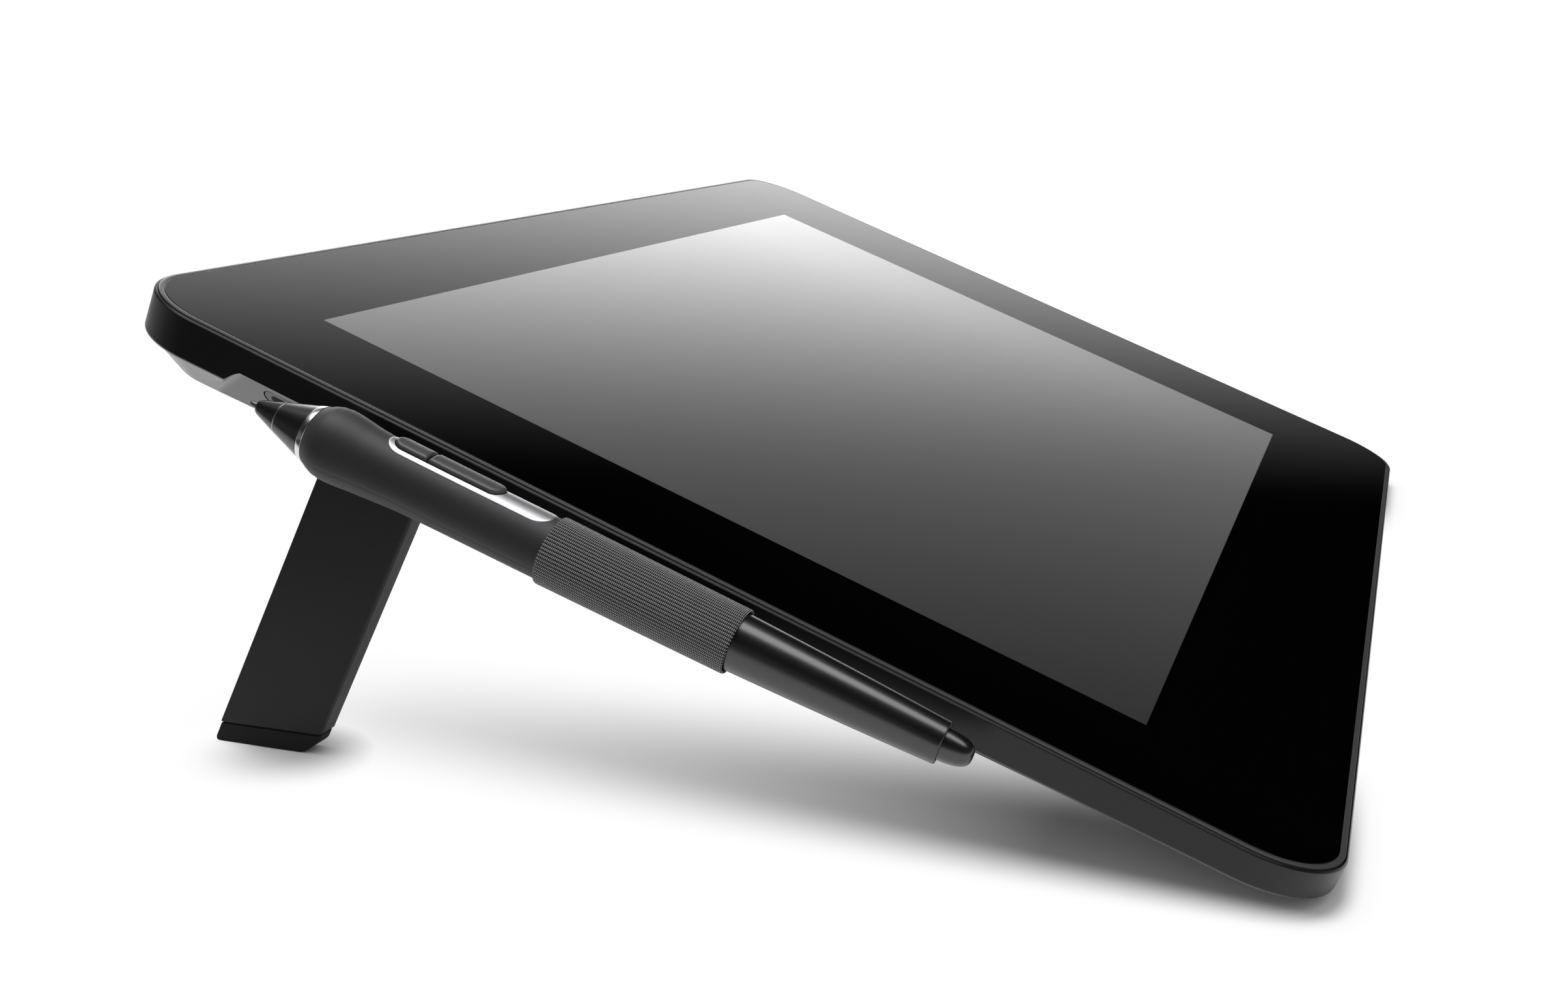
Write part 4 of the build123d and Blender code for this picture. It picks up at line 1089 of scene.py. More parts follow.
    def screws(self) -> None:
        """The screws in the back, each with a cross recess in its head."""
        turned = []
        profile = ((0.0, 0.0), (self.screw_head, 0.0), (self.screw_head, -1.2), (self.screw_head - 0.4, -1.7), (0.0, -1.8))
        for radius, height in profile:
            ring = []
            for step in range(24):
                angle = math.radians(15 * step)
                ring.append(Vector(((radius + 1e-3) * math.cos(angle), (radius + 1e-3) * math.sin(angle), height)))
            turned.append(ring)
        head = loft("screw", turned)
        flat = Place(Vector((0, 0, 0)), Vector((1, 0, 0)), Vector((0, 1, 0)), Vector((0, 0, 1)))
        blades = [
            prism("blade", rounded_outline(length, width, 0.15, 2), flat, -1.0, -3.0)
            for length, width in ((3.2, 0.8), (0.8, 3.2))
        ]
        head = cut(head, blades)
        spots = bpy.data.meshes.new("screw_spots")
        spots.from_pydata([(u, v, self.screw_seat_w) for u, v in self.screw_spots], [], [])
        places = placed(spots)
        mesh = self.spread.run(self.spread.over, head, Places=places, Turn=0.7)
        bpy.data.objects.remove(places)
        mesh.name = "back_screws"
        self.kit.make(mesh, self.layout.deck, "screw_black", Body.CASING, "screw_steel", ["cover_screws"])

    def feet(self) -> None:
        """The rubber feet on the back, two long ones at the low edge and two at the raised edge."""
        lay = self.layout
        back = lay.back().inside(lay.deck)
        for name, middle, size, high in (
            ("low", (120.0, -113.2), (70.0, 10.0), None),
            ("raised", (38.0, 110.0), (34.0, 8.0), 1.5),
        ):
            for side in Side:
                rows = []
                for inset, share in ((0.0, 0.0), (0.0, 0.7), (0.25, 0.92), (0.8, 1.0)):
                    outline = rounded_outline(size[0] - 2 * inset, size[1] - 2 * inset, 2.0 - inset, 6)
                    ring = []
                    for a, b in self.moved(outline, side.value * middle[0], middle[1]):
                        foot = back.at(a, b, 0)
                        depth = high if high else foot.z / back.z.z
                        ring.append(Vector((a, b, -depth * share)))
                    rows.append(ring)
                mesh = loft(f"{name}_foot_{side.name.lower()}", rows)
                nodes = ["low_feet" if high is None else "high_feet"]
                self.kit.make(mesh, back, "foot_rubber", Body.CASING, "foot_rubber", nodes)

    def build(self, legs: "Legs") -> None:
        """Builds the whole casing."""
        self.glass()
        self.ring()
        self.shell(legs)
        self.lock()
        self.button()
        self.screws()
        self.feet()


@dataclass
class Legs:
    """The two fold-out legs with their rubber ends, measured on the sloped back."""

    kit: Kit
    layout: Layout
    face_u: float = 197.0
    thickness: float = 6.5
    width: float = 24.7
    root_v: float = 77.2
    lean_deg: float = 6.65
    pin_inset: float = 4.5
    head: float = 3.2
    recess: float = 0.4
    foot_height: float = 5.0
    edge_round: float = 0.55
    crease_depth: float = 0.3
    pocket_gap: float = 0.5
    pocket_length: float = 84.0
    scoop_radius: float = 9.0
    head_round: float = 2.0

    @property
    def lean(self) -> float:
        """How far the leg leans for each millimetre of its height."""
        return math.tan(math.radians(self.lean_deg))

    @property
    def pin_w(self) -> float:
        """The hinge pin's height over the back."""
        return self.pin_inset + self.recess

    def world(self) -> Place:
        """The back's frame in the world."""
        return self.layout.back().inside(self.layout.deck)

    def section(self, inset: float, side: Side) -> list[Point]:
        """The leg's cross-section as (u, v) round its leaning centre line, with a crease in its low side.

        Args:
            inset: how far the section is drawn in.
            side: which leg it is.

        Returns:
            The points, with u measured from the outer face inwards and v from the centre line.
        """
        low = inset - self.width / 2
        centre = (self.thickness / 2, 0.0)
        steps = 5
        outline = rounded_outline(self.thickness - 2 * inset, self.width - 2 * inset, self.edge_round, steps, centre)
        crease = inset + self.edge_round + 0.35
        spot = 3 * (steps + 1)
        groove = [(crease - 0.22, low), (crease, low + self.crease_depth), (crease + 0.22, low)]
        counts = [1] * (len(outline) + len(groove))
        counts[steps] = 4
        counts[2 * steps + 1] = 18
        counts[-1] = 18
        return divided(outline[:spot] + groove + outline[spot:], counts)

    def point(self, side: Side, u: float, v: float, height: float) -> Vector:
        """A point of the leg in the back's frame, from its section and its height over the back."""
        centre = self.root_v + (self.pin_w - height) * self.lean
        return Vector((side.value * (self.face_u - u), centre + v, height))

    def floor_height(self, side: Side, u: float, v: float, lift: float) -> float:
        """The height over the back at which a line down the leg is at a lift over the floor."""
        world = self.world()
        top = world.at(*self.point(side, u, v, 0.0)).z
        below = world.at(*self.point(side, u, v, -1.0)).z
        return -(top - lift) / (top - below)

    def end_lift(self, v: float, inset: float) -> float:
        """How far the foot's rim stands off the floor: its low corner is chamfered, its high one rounded."""
        half = self.width / 2
        from_low = v + half
        from_high = half - v
        chamfer = max(0.0, 2.6 - from_low) * 1.05
        rounding = max(0.0, 1.5 - from_high) ** 2 * 0.55
        return chamfer + rounding + inset

    def leg(self, side: Side, body: Body) -> None:
        """One leg's plate and its rubber end."""
        word = side.name.lower()
        top = self.pin_w + self.head
        rows = []
        for inset, height in ((0.5, top), (0.15, top - 0.12), (0.0, top - 0.5)):
            rows.append([self.point(side, u, v, height) for u, v in self.section(inset, side)])
        split = 0.12
        for lift, inset in ((self.foot_height + 0.3, 0.0), (self.foot_height + split, 0.12)):
            ring = self.section(inset, side)
            rows.append([self.point(side, u, v, self.floor_height(side, u, v, lift)) for u, v in ring])
        mesh = loft(f"{word}_leg_plate", rows)
        if side is Side.RIGHT:
            mesh.flip_normals()
        place = self.world()
        self.kit.make(mesh, place, "leg_black", body, "leg_black", [f"{word}_leg"])
        rows = []
        foot_inset = 0.22
        for lift, inset in ((self.foot_height - split, 0.3), (self.foot_height - split - 0.25, 0.0)):
            ring = self.section(foot_inset + inset, side)
            rows.append([self.point(side, u, v, self.floor_height(side, u, v, lift)) for u, v in ring])
        for inset, rise in ((0.0, 0.5), (0.12, 0.18), (0.45, 0.0)):
            ring = self.section(foot_inset + inset, side)
            rows.append([
                self.point(side, u, v, self.floor_height(side, u, v, self.end_lift(v, 0.0) + rise)) for u, v in ring
            ])
        mesh = loft(f"{word}_leg_end", rows)
        self.kit.make(mesh, place, "foot_rubber", body, "foot_rubber", [f"{word}_leg_foot"])

    def pocket_tools(self, side: Side) -> list[bpy.types.Mesh]:
        """The solids that cut one leg's pocket into the rear cover, measured on the glass."""
        back = self.layout.back()
        sign = side.value
        pin_u = self.face_u - self.pin_inset
        start = pin_u + math.hypot(self.pin_inset, self.head) + 0.4
        end = pin_u - self.pocket_length
        half = self.width / 2 + self.pocket_gap
        start_v = self.root_v + (pin_u - start) * self.lean
        end_v = self.root_v + (pin_u - end) * self.lean
        outline = [
            (sign * start, start_v - half), (sign * start, start_v + half),
            (sign * end, end_v + half), (sign * end, end_v - half),
        ]
        ceiling = self.pin_w + self.head + 0.06
        tools = [prism("leg_pocket", outline, back, -OVERRUN, ceiling)]
        inner = self.face_u - self.thickness
        across = Place(
            back.at(sign * (inner - self.pocket_gap), 0, 0), back.y, back.z, back.x * sign
        )
        low = -OVERRUN * 2
        top = self.pin_w + self.head + self.pocket_gap
        slanted = []
        for height, edge in ((top, -half), (top, half), (low, half), (low, -half)):
            slanted.append((self.root_v + (self.pin_w - height) * self.lean + edge, height))
        tools.append(prism("leg_slot", slanted, across, 0.0, self.thickness + 2 * self.pocket_gap))
        scoop = [
            (sign * end + self.scoop_radius * math.cos(a), end_v + self.scoop_radius * math.sin(a))
            for a in (math.radians(10 * step) for step in range(36))
        ]
        tools.append(prism("leg_scoop", scoop, back, -OVERRUN, self.pin_w / 2))
        return tools

    def build(self) -> None:
        """Builds both legs."""
        self.leg(Side.LEFT, Body.LEFT_LEG)
        self.leg(Side.RIGHT, Body.RIGHT_LEG)


@dataclass
class Pen:
    """The pen: s runs from the nib's tip to the eraser, measured along its axis."""

    kit: Kit
    layout: Layout
    spread: Spread
    axis_u: float = -222.5
    tip_v: float = 96.6
    tip_w: float = -6.1
    pitch_deg: float = 0.76
    segments: int = 96
    plate: tuple[float, float] = (32.7, 72.0)
    plate_width: float = 8.2
    button_span: tuple[float, float] = (34.3, 59.9)
    button_split: float = 42.9
    split_gap: float = 0.35
    button_width: float = 4.9
    button_proud: float = 0.95
    button_gap: float = 0.28
    loop: tuple[float, float] = (73.1, 115.7)
    rib_count: int = 60
    rib_radius: float = 0.31
    parting_deg: float = 117.0

    def local(self) -> Place:
        """The pen's frame in the world: x along the pen, y towards the casing, z up out of the glass."""
        deck = self.layout.deck
        pitch = math.radians(self.pitch_deg)
        along = deck.turn(0, -math.cos(pitch), math.sin(pitch))
        up = deck.turn(0, math.sin(pitch), math.cos(pitch))
        return Place(deck.at(self.axis_u, self.tip_v, self.tip_w), along, up.cross(along), up)

    def wrapped(self, s: float, angle: float, radius: float) -> Vector:
        """A point on the pen: angle 0 is up and a quarter turn is the near side."""
        return Vector((s, -radius * math.sin(angle), radius * math.cos(angle)))

    def turned(self, name: str, profile: Sequence[Point]) -> bpy.types.Mesh:
        """A closed solid turned about the axis from (s, radius) points.

        Args:
            name: the mesh's name.
            profile: the outline from one end on the axis side to the other.

        Returns:
            The mesh.
        """
        rows = []
        for s, radius in profile:
            ring = []
            for step in range(self.segments):
                angle = 2 * math.pi * step / self.segments
                ring.append(self.wrapped(s, angle, max(radius, 1e-3)))
            rows.append(ring)
        return loft(name, rows)

    def rounded(self, profile: Sequence[Point], radius: float, steps: int = 4) -> list[Point]:
        """A profile with its inner corners rounded.

        Args:
            profile: the corner points.
            radius: how far from each corner the rounding starts.
            steps: how many pieces a rounding has.

        Returns:
            The new points.
        """
        points = [profile[0]]
        for before, corner, after in zip(profile, profile[1:], profile[2:]):
            reach = min(radius, math.dist(before, corner) * 0.45, math.dist(corner, after) * 0.45)
            start = self.towards(corner, before, reach)
            end = self.towards(corner, after, reach)
            for step in range(steps + 1):
                t = step / steps
                points.append(tuple(
                    (1 - t) ** 2 * a + 2 * t * (1 - t) * b + t * t * c for a, b, c in zip(start, corner, end)
                ))
        points.append(profile[-1])
        return points

    def towards(self, start: Point, goal: Point, reach: float) -> Point:
        """The point at a distance from start towards goal."""
        share = reach / max(math.dist(start, goal), 1e-9)
        return (start[0] + (goal[0] - start[0]) * share, start[1] + (goal[1] - start[1]) * share)

    def grip_radius(self, s: float, angle: float) -> float:
        """The grip's radius: flared in front, waisted, and fuller on its underside."""
        stations = (
            (17.0, 6.45), (18.4, 7.2), (19.8, 7.7), (21.4, 7.9), (23.0, 7.88), (25.5, 7.62), (29.0, 7.15), (33.0, 6.88),
            (38.0, 6.77), (50.0, 6.68), (72.0, 6.6), (94.0, 6.5)
        )
        radius = stations[-1][1]
        for (s0, r0), (s1, r1) in zip(stations, stations[1:]):
            if s <= s1:
                radius = r0 + (r1 - r0) * (s - s0) / (s1 - s0)
                break
        under = max(0.0, -math.cos(angle)) ** 1.5
        belly = 0.45 * math.exp(-((s - 31.0) / 7.0) ** 2)
        return radius + belly * under

    def grip(self) -> None:
        """The soft grip with its parting line along both sides."""
        stations = [17.0, 17.05] + [17.3 + 0.5 * k for k in range(24)] + [30 + 1.5 * k for k in range(43)]
        rows = [[self.wrapped(16.95, 2 * math.pi * k / 144, 4.0) for k in range(144)]]
        for s in stations:
            ring = []
            for k in range(144):
                angle = 2 * math.pi * k / 144
                drop = 0.12 if s < 17.02 else 0.0
                ring.append(self.wrapped(s, angle, self.grip_radius(max(s, 17.0), angle) - drop - self.parting(angle)))
            rows.append(ring)
        rows.append([self.wrapped(94.0, 2 * math.pi * k / 144, 4.0) for k in range(144)])
        mesh = cut(loft("grip_sleeve", rows), [self.key_well()])
        mesh.name = "grip_sleeve"
        self.kit.make(mesh, self.local(), "grip_soft", Body.PEN, "grip_rubber", ["pen_grip"], 50)

    def parting(self, angle: float) -> float:
        """The depth of the parting line, which lies a little below each side."""
        line = math.radians(self.parting_deg)
        nearest = min(abs(angle - line), abs(2 * math.pi - line - angle))
        return 0.09 * math.exp(-(nearest / 0.022) ** 2)

    def pad(
        self, name: str, start: float, end: float, width: float, bottom: float, top: float, edge: float,
        round_start: bool = True, round_end: bool = True
    ) -> bpy.types.Mesh:
        """A closed pad that lies on the grip's upper side, with rounded rims.

        Args:
            name: the mesh's name.
            start: where the pad starts along the pen.
            end: where it ends.
            width: its width round the pen.
            bottom: the height of its underside over the grip.
            top: the height of its upper side.
            edge: the width of the rounded rim.
            round_start: whether its first end is round.
            round_end: whether its last end is round.

        Returns:
            The mesh in the pen's frame.
        """
        half = width / 2
        stations = []
        rim_steps = 14
        for k in range(rim_steps + 1):
            share = 1 - math.cos(math.pi / 2 * k / rim_steps)
            stations.append(start + (half if round_start else edge) * share)
        middle = max(2, int((end - start) / 1.0))
        first = stations[-1]
        last = end - (half if round_end else edge)
        stations += [first + (last - first) * k / middle for k in range(1, middle)]
        for k in range(rim_steps + 1):
            share = math.sin(math.pi / 2 * k / rim_steps)
            stations.append(last + (half if round_end else edge) * share)
        across = [math.sin(math.pi / 2 * k / 12) for k in range(-12, 13)]
        upper = []
        lower = []
        for s in stations:
            reach = half
            if round_start and s < start + half:
                reach = math.sqrt(max(half ** 2 - (start + half - s) ** 2, 1e-4))
            if round_end and s > end - half:
                reach = math.sqrt(max(half ** 2 - (s - end + half) ** 2, 1e-4))
            top_row = []
            low_row = []
            for share in across:
                y = share * reach
                rim = self.rim_distance(s, y, start, end, half, round_start, round_end)
                t = min(rim / edge, 1.0)
                rise = math.sqrt(max(1 - (1 - t) ** 2, 0.0))
                radius = self.grip_radius(s, 0.0)
                angle = y / radius
                top_row.append(self.wrapped(s, angle, radius + bottom + (top - bottom) * (0.35 + 0.65 * rise)))
                low_row.append(self.wrapped(s, angle, radius + bottom))
            upper.append(top_row)
            lower.append(low_row)
        rows = [up + low[::-1] for up, low in zip(upper, lower)]
        return loft(name, rows)

    def rim_distance(
        self, s: float, y: float, start: float, end: float, half: float, round_start: bool, round_end: bool
    ) -> float:
        """How far a point of a pad lies from the pad's rim."""
        distance = half - abs(y)
        if round_start and s < start + half:
            distance = min(distance, half - math.hypot(start + half - s, y))
        elif not round_start:
            distance = min(distance, s - start)
        if round_end and s > end - half:
            distance = min(distance, half - math.hypot(s - end + half, y))
        elif not round_end:
            distance = min(distance, end - s)
        return max(distance, 0.0)

    def key_well(self) -> bpy.types.Mesh:
        """The solid that cuts the well in which the two buttons move."""
        start, end = self.button_span
        width = self.button_width + 2 * self.button_gap
        return self.pad("key_well", start - self.button_gap, end + self.button_gap, width, -1.2, 1.5, 0.05)

    def switch(self) -> None:
        """The bright switch plate and the two raised buttons in it."""
        start, end = self.button_span
        plate = self.pad("switch_plate", *self.plate, self.plate_width, -0.35, 0.16, 0.5)
        mesh = cut(plate, [self.key_well()])
        mesh.name = "switch_plate"
        local = self.local()
        self.kit.make(mesh, local, "plate_silver", Body.PEN, "plate_silver", ["pen_switch_plate"], 40)
        half_gap = self.split_gap / 2
        width = self.button_width
        for name, body, first, last, ends in (
            ("front_key", Body.FRONT_BUTTON, start, self.button_split - half_gap, (True, False)),
            ("rear_key", Body.REAR_BUTTON, self.button_split + half_gap, end, (False, True)),
        ):
            mesh = self.pad(name, first, last, width, 0.02, self.button_proud, 0.7, *ends)
            self.kit.make(mesh, local, "switch_grey", body, "switch_grey", [body.value], 50)

    def front(self) -> None:
        """The nib, the cone in its two pieces with the bright seam, and the bright ring."""
        local = self.local()
        nib = self.rounded(
            [(0.0, 0.0), (0.0, 0.42), (0.4, 0.6), (2.2, 0.72), (3.4, 1.0), (24.0, 1.0), (24.0, 0.0)], 0.3
        )
        self.kit.make(self.turned("nib", nib), local, "nib_grey", Body.NIB, "nib_grey", ["pen_nib"], 50)
        tip = self.rounded([(3.4, 1.06), (1.95, 0.9), (1.9, 1.3), (2.5, 1.68), (7.85, 3.54), (7.85, 2.2), (3.4, 1.06)], 0.22)
        self.kit.make(
            self.turned("cone_tip", tip), local, "tip_satin", Body.PEN, "pen_satin", ["pen_cone_tip"], 40
        )
        seam = [(7.8, 2.4), (7.8, 3.46), (7.86, 3.56), (8.06, 3.63), (8.12, 3.54), (8.12, 2.4)]
        self.kit.make(self.turned("cone_seam", seam), local, "seam_bright", Body.PEN, "ring_chrome", (), 60)
        cone = self.rounded([(8.1, 2.2), (8.1, 3.6), (15.5, 6.05), (15.5, 3.0)], 0.14)
        self.kit.make(self.turned("cone_shell", cone), local, "tip_satin", Body.PEN, "pen_satin", ["pen_cone"], 40)
        ring = self.rounded([(15.5, 3.0), (15.5, 6.14), (16.85, 6.5), (16.95, 6.3), (16.95, 3.0)], 0.16)
        self.kit.make(self.turned("bright_ring", ring), local, "ring_bright", Body.PEN, "ring_chrome", ["pen_ring"], 40)

    def rear(self) -> None:
        """The satin rear barrel with its rounded end step, and the eraser."""
        local = self.local()
        outline = [(94.0, 4.0), (94.0, 6.5)]
        count = 26
        for k in range(1, count + 1):
            share = k / count
            s = 94.0 + (160.2 - 94.0) * share
            outline.append((s, 6.5 - 1.1 * share - 1.0 * share ** 2.0))
        outline += [(160.2, 3.6), (158.4, 3.5), (158.4, 1.0)]
        smooth = outline[:-5] + self.rounded(outline[-5:], 0.45, 5)
        self.kit.make(self.turned("rear_barrel", smooth), local, "pen_satin", Body.PEN, "pen_satin", ["pen_barrel"], 42)
        dome = []
        for k in range(19):
            angle = math.radians(90 * k / 18)
            dome.append((160.0 + 6.4 * math.sin(angle), 3.38 * math.cos(angle) ** 0.62))
        profile = [(151.0, 0.0), (151.0, 2.2), (158.8, 2.2), (158.8, 3.38)] + dome
        self.kit.make(self.turned("eraser_end", profile), local, "pen_satin", Body.ERASER, "pen_satin", ["pen_eraser"], 45)

    def loop_radius(self, s: float) -> float:
        """The radius of the elastic's inside, which follows the pen."""
        share = (s - self.loop[0]) / (self.loop[1] - self.loop[0])
        return 6.72 - 0.42 * share

    def sleeve(self) -> bpy.types.Mesh:
        """The elastic's ground: a thin sleeve round the pen."""
        start, end = self.loop
        rows = []
        inner = [(start + 0.3 + (end - start - 0.6) * k / 12) for k in range(13)]
        for s in inner:
            rows.append([self.wrapped(s, 2 * math.pi * k / 120, self.loop_radius(s) + 0.32) for k in range(120)])
        for s in reversed(inner):
            rows.append([self.wrapped(s, 2 * math.pi * k / 120, self.loop_radius(s)) for k in range(120)])
        return loft("loop_ground", rows, ring=True)

    def rib(self) -> bpy.types.Mesh:
        """One rib of the elastic on the upper side, with a map along and round its yarn."""
        start, end = self.loop
        length = end - start
        steps = 26
        around = 10
        taper = ((0.0, 0.45), (0.15, 0.82), (0.45, 1.0))
        straight = length - 2 * taper[-1][0]
        stations = [*taper]
        stations += [(taper[-1][0] + straight * k / steps, 1.0) for k in range(1, steps)]
        stations += [(length - reach, pinch) for reach, pinch in reversed(taper)]
        form = bmesh.new()
        skin = form.loops.layers.uv.new("yarn")
        grid = []
        for reach, pinch in stations:
            radius = self.rib_radius * pinch
            centre = self.loop_radius(start + reach) + 0.32
            row = []
            for turn in range(around):
                angle = 2 * math.pi * turn / around
                row.append(form.verts.new((start + reach, radius * math.cos(angle), centre + radius * math.sin(angle))))
            grid.append(row)
        for k in range(len(stations) - 1):
            for turn in range(around):
                after = (turn + 1) % around
                face = form.faces.new((grid[k][turn], grid[k + 1][turn], grid[k + 1][after], grid[k][after]))
                corners = ((k, turn), (k + 1, turn), (k + 1, turn + 1), (k, turn + 1))
                for corner, (a, b) in zip(face.loops, corners):
                    corner[skin].uv = (stations[a][0] / length, b / around)
        for row in (grid[0], grid[-1]):
            form.faces.new(row)
        bmesh.ops.recalc_face_normals(form, faces=form.faces)
        mesh = bpy.data.meshes.new("loop_rib")
        form.to_mesh(mesh)
        form.free()
        return mesh

    def elastic(self) -> None:
        """The elastic loop: its ground, its ribs and its neck, which reaches to the wall."""
        local = self.local()
        yarn = YarnFinish().build((self.loop[1] - self.loop[0]) * MM)
        neck_length = 35.0
        mid = (self.loop[0] + self.loop[1]) / 2
        reach = -self.layout.half_length - self.axis_u - 0.3
        neck_rows = []
        for s in (mid - neck_length / 2, mid + neck_length / 2):
            ring = [
                Vector((s, y, z)) for y, z in ((6.5, -1.15), (reach, -0.95), (reach, 0.95), (6.5, 1.15))
            ]
            neck_rows.append(ring)
        neck = loft("loop_neck", neck_rows)
        ground = joined("loop_ground", [self.sleeve(), neck])
        self.kit.make(ground, local, "elastic_base", Body.CASING, "loop_elastic", ["pen_loop"], 50)
        step = 2 * math.pi / self.rib_count
        ribs = self.spread.run(
            self.spread.around, self.rib(), Count=self.rib_count, First_Angle=step / 2, Step_Angle=step, Finish=yarn
        )
        ribs.name = "loop_ribs"
        self.kit.make(ribs, local, yarn, Body.CASING, "loop_elastic", (), 60)

    def build(self) -> None:
        """Builds the pen and its loop."""
        self.front()
        self.grip()
        self.switch()
        self.rear()
        self.elastic()


@dataclass
class Studio:
    """The floor, the lights, the cards that shape the reflections, and the camera."""

    layout: Layout
    focal_px: float = 2852.582
    frame_px: tuple[int, int] = (2408, 1515)
    sensor_mm: float = 36.0
    eye: tuple[float, float, float] = (-548.4776, -90.5561, 141.9219)
    turn: tuple[float, float, float] = (1.840543, -0.968989, 1.129109)
    sky: float = 0.6
    mirrored_sky: float = 0.12
    sun: float = 0.5
    card_distance: float = 1500.0
    card_left_px: float = -900.0
    card_right_px: float = 3300.0
    card_top_px: float = -420.0
    card_bottom_px: float = 2300.0
    glow_peak: float = 1.53
    glow_start_px: float = 245.0
    glow_end_px: float = 717.0
    glow_slant: float = -0.03
    glow_limit: float = 2.0

    def axes(self) -> tuple[Vector, Vector, Vector]:
        """The camera's right, up and back directions, measured on the glass."""
        spin = Vector(self.turn)
        solved = Matrix.Rotation(spin.length, 3, spin.normalized())
        return Vector(solved[0]), -Vector(solved[1]), -Vector(solved[2])

    def camera(self) -> None:
        """The camera at the photograph's place, angle and lens."""
        deck = self.layout.deck
        right, up, back = (deck.turn(*axis) for axis in self.axes())
        lens = bpy.data.cameras.new("photo_camera")
        lens.sensor_fit = "HORIZONTAL"
        lens.sensor_width = self.sensor_mm
        lens.lens = self.sensor_mm * self.focal_px / self.frame_px[0]
        lens.clip_start = 0.01
        lens.clip_end = 50
        thing = bpy.data.objects.new("photo_camera", lens)
        thing.matrix_world = Place(deck.at(*self.eye), right, up, back).matrix() @ Matrix.Scale(1 / MM, 4)
        bpy.context.scene.collection.objects.link(thing)
        bpy.context.scene.camera = thing

    def mirrored(self, x_px: float, y_px: float, distance: float) -> Vector:
        """The point that the glass shows at a pixel, at a distance, measured on the glass."""
        right, up, back = self.axes()
        a = (x_px - self.frame_px[0] / 2) / self.focal_px
        b = (self.frame_px[1] / 2 - y_px) / self.focal_px
        ray = right * a + up * b - back
        eye = Vector(self.eye)
        return Vector((eye.x + ray.x * distance, eye.y + ray.y * distance, -eye.z - ray.z * distance))

    def glow_card(self) -> None:
        """A card beyond the far side that the glass mirrors: bright at its foot and dark above it."""
        deck = self.layout.deck
        corners_px = (
            (self.card_left_px, self.card_bottom_px), (self.card_right_px, self.card_bottom_px),
            (self.card_right_px, self.card_top_px), (self.card_left_px, self.card_top_px),
        )
        points = [deck.at(*self.mirrored(x, y, self.card_distance)) * MM for x, y in corners_px]
        mesh = bpy.data.meshes.new("glow_card")
        mesh.from_pydata(points, [], [(0, 1, 2, 3)])
        skin = mesh.uv_layers.new(name="card")
        for corner, place in zip(skin.data, ((0, 0), (1, 0), (1, 1), (0, 1))):
            corner.uv = place
        material = bpy.data.materials.new("card_glow")
        material.use_nodes = True
        tree = Tree(material.node_tree)
        tree.tree.nodes.remove(tree.tree.nodes["Principled BSDF"])
        place = tree.add("ShaderNodeUVMap", uv_map="card")
        axes = tree.feed(tree.add("ShaderNodeSeparateXYZ"), Vector=place.outputs[0])
        span = self.card_bottom_px - self.card_top_px
        row = tree.math("MULTIPLY_ADD", axes.outputs[1], -span, self.card_bottom_px)
        column = tree.math("MULTIPLY_ADD", axes.outputs[0], self.card_right_px - self.card_left_px, self.card_left_px)
        slanted = tree.math("MULTIPLY_ADD", column, self.glow_slant, row)
        share = tree.math("DIVIDE", tree.math("SUBTRACT", self.glow_end_px, slanted), self.glow_end_px - self.glow_start_px)
        share = tree.math("MINIMUM", tree.math("MAXIMUM", share, 0.0), self.glow_limit)
        strength = tree.math("MULTIPLY", tree.math("POWER", share, 2.0), self.glow_peak)
        glow = tree.feed(tree.add("ShaderNodeEmission"), Color=(1, 1, 1, 1), Strength=strength)
        tree.feed(tree.tree.nodes["Material Output"], Surface=glow.outputs[0])
        mesh.materials.append(material)
        self.reflected_only(placed(mesh))

    def reflected_only(self, card: bpy.types.Object) -> None:
        """Keeps a card to reflections alone."""
        card.visible_camera = False
        card.visible_diffuse = False
        card.visible_shadow = False
        card.visible_transmission = False

    def card(self, name: str, corners: Sequence[tuple[float, float, float]], level: float) -> None:
        """A card of an even brightness that only reflections see.

        Args:
            name: the card's name.
            corners: its corners in metres.
            level: how bright it is.
        """
        mesh = bpy.data.meshes.new(name)
        mesh.from_pydata([Vector(c) for c in corners], [], [(0, 1, 2, 3)])
        material = bpy.data.materials.new(name)
        material.use_nodes = True
        tree = Tree(material.node_tree)
        tree.tree.nodes.remove(tree.tree.nodes["Principled BSDF"])
        glow = tree.feed(tree.add("ShaderNodeEmission"), Color=(level, level, level, 1), Strength=1.0)
        tree.feed(tree.tree.nodes["Material Output"], Surface=glow.outputs[0])
        mesh.materials.append(material)
        self.reflected_only(placed(mesh))

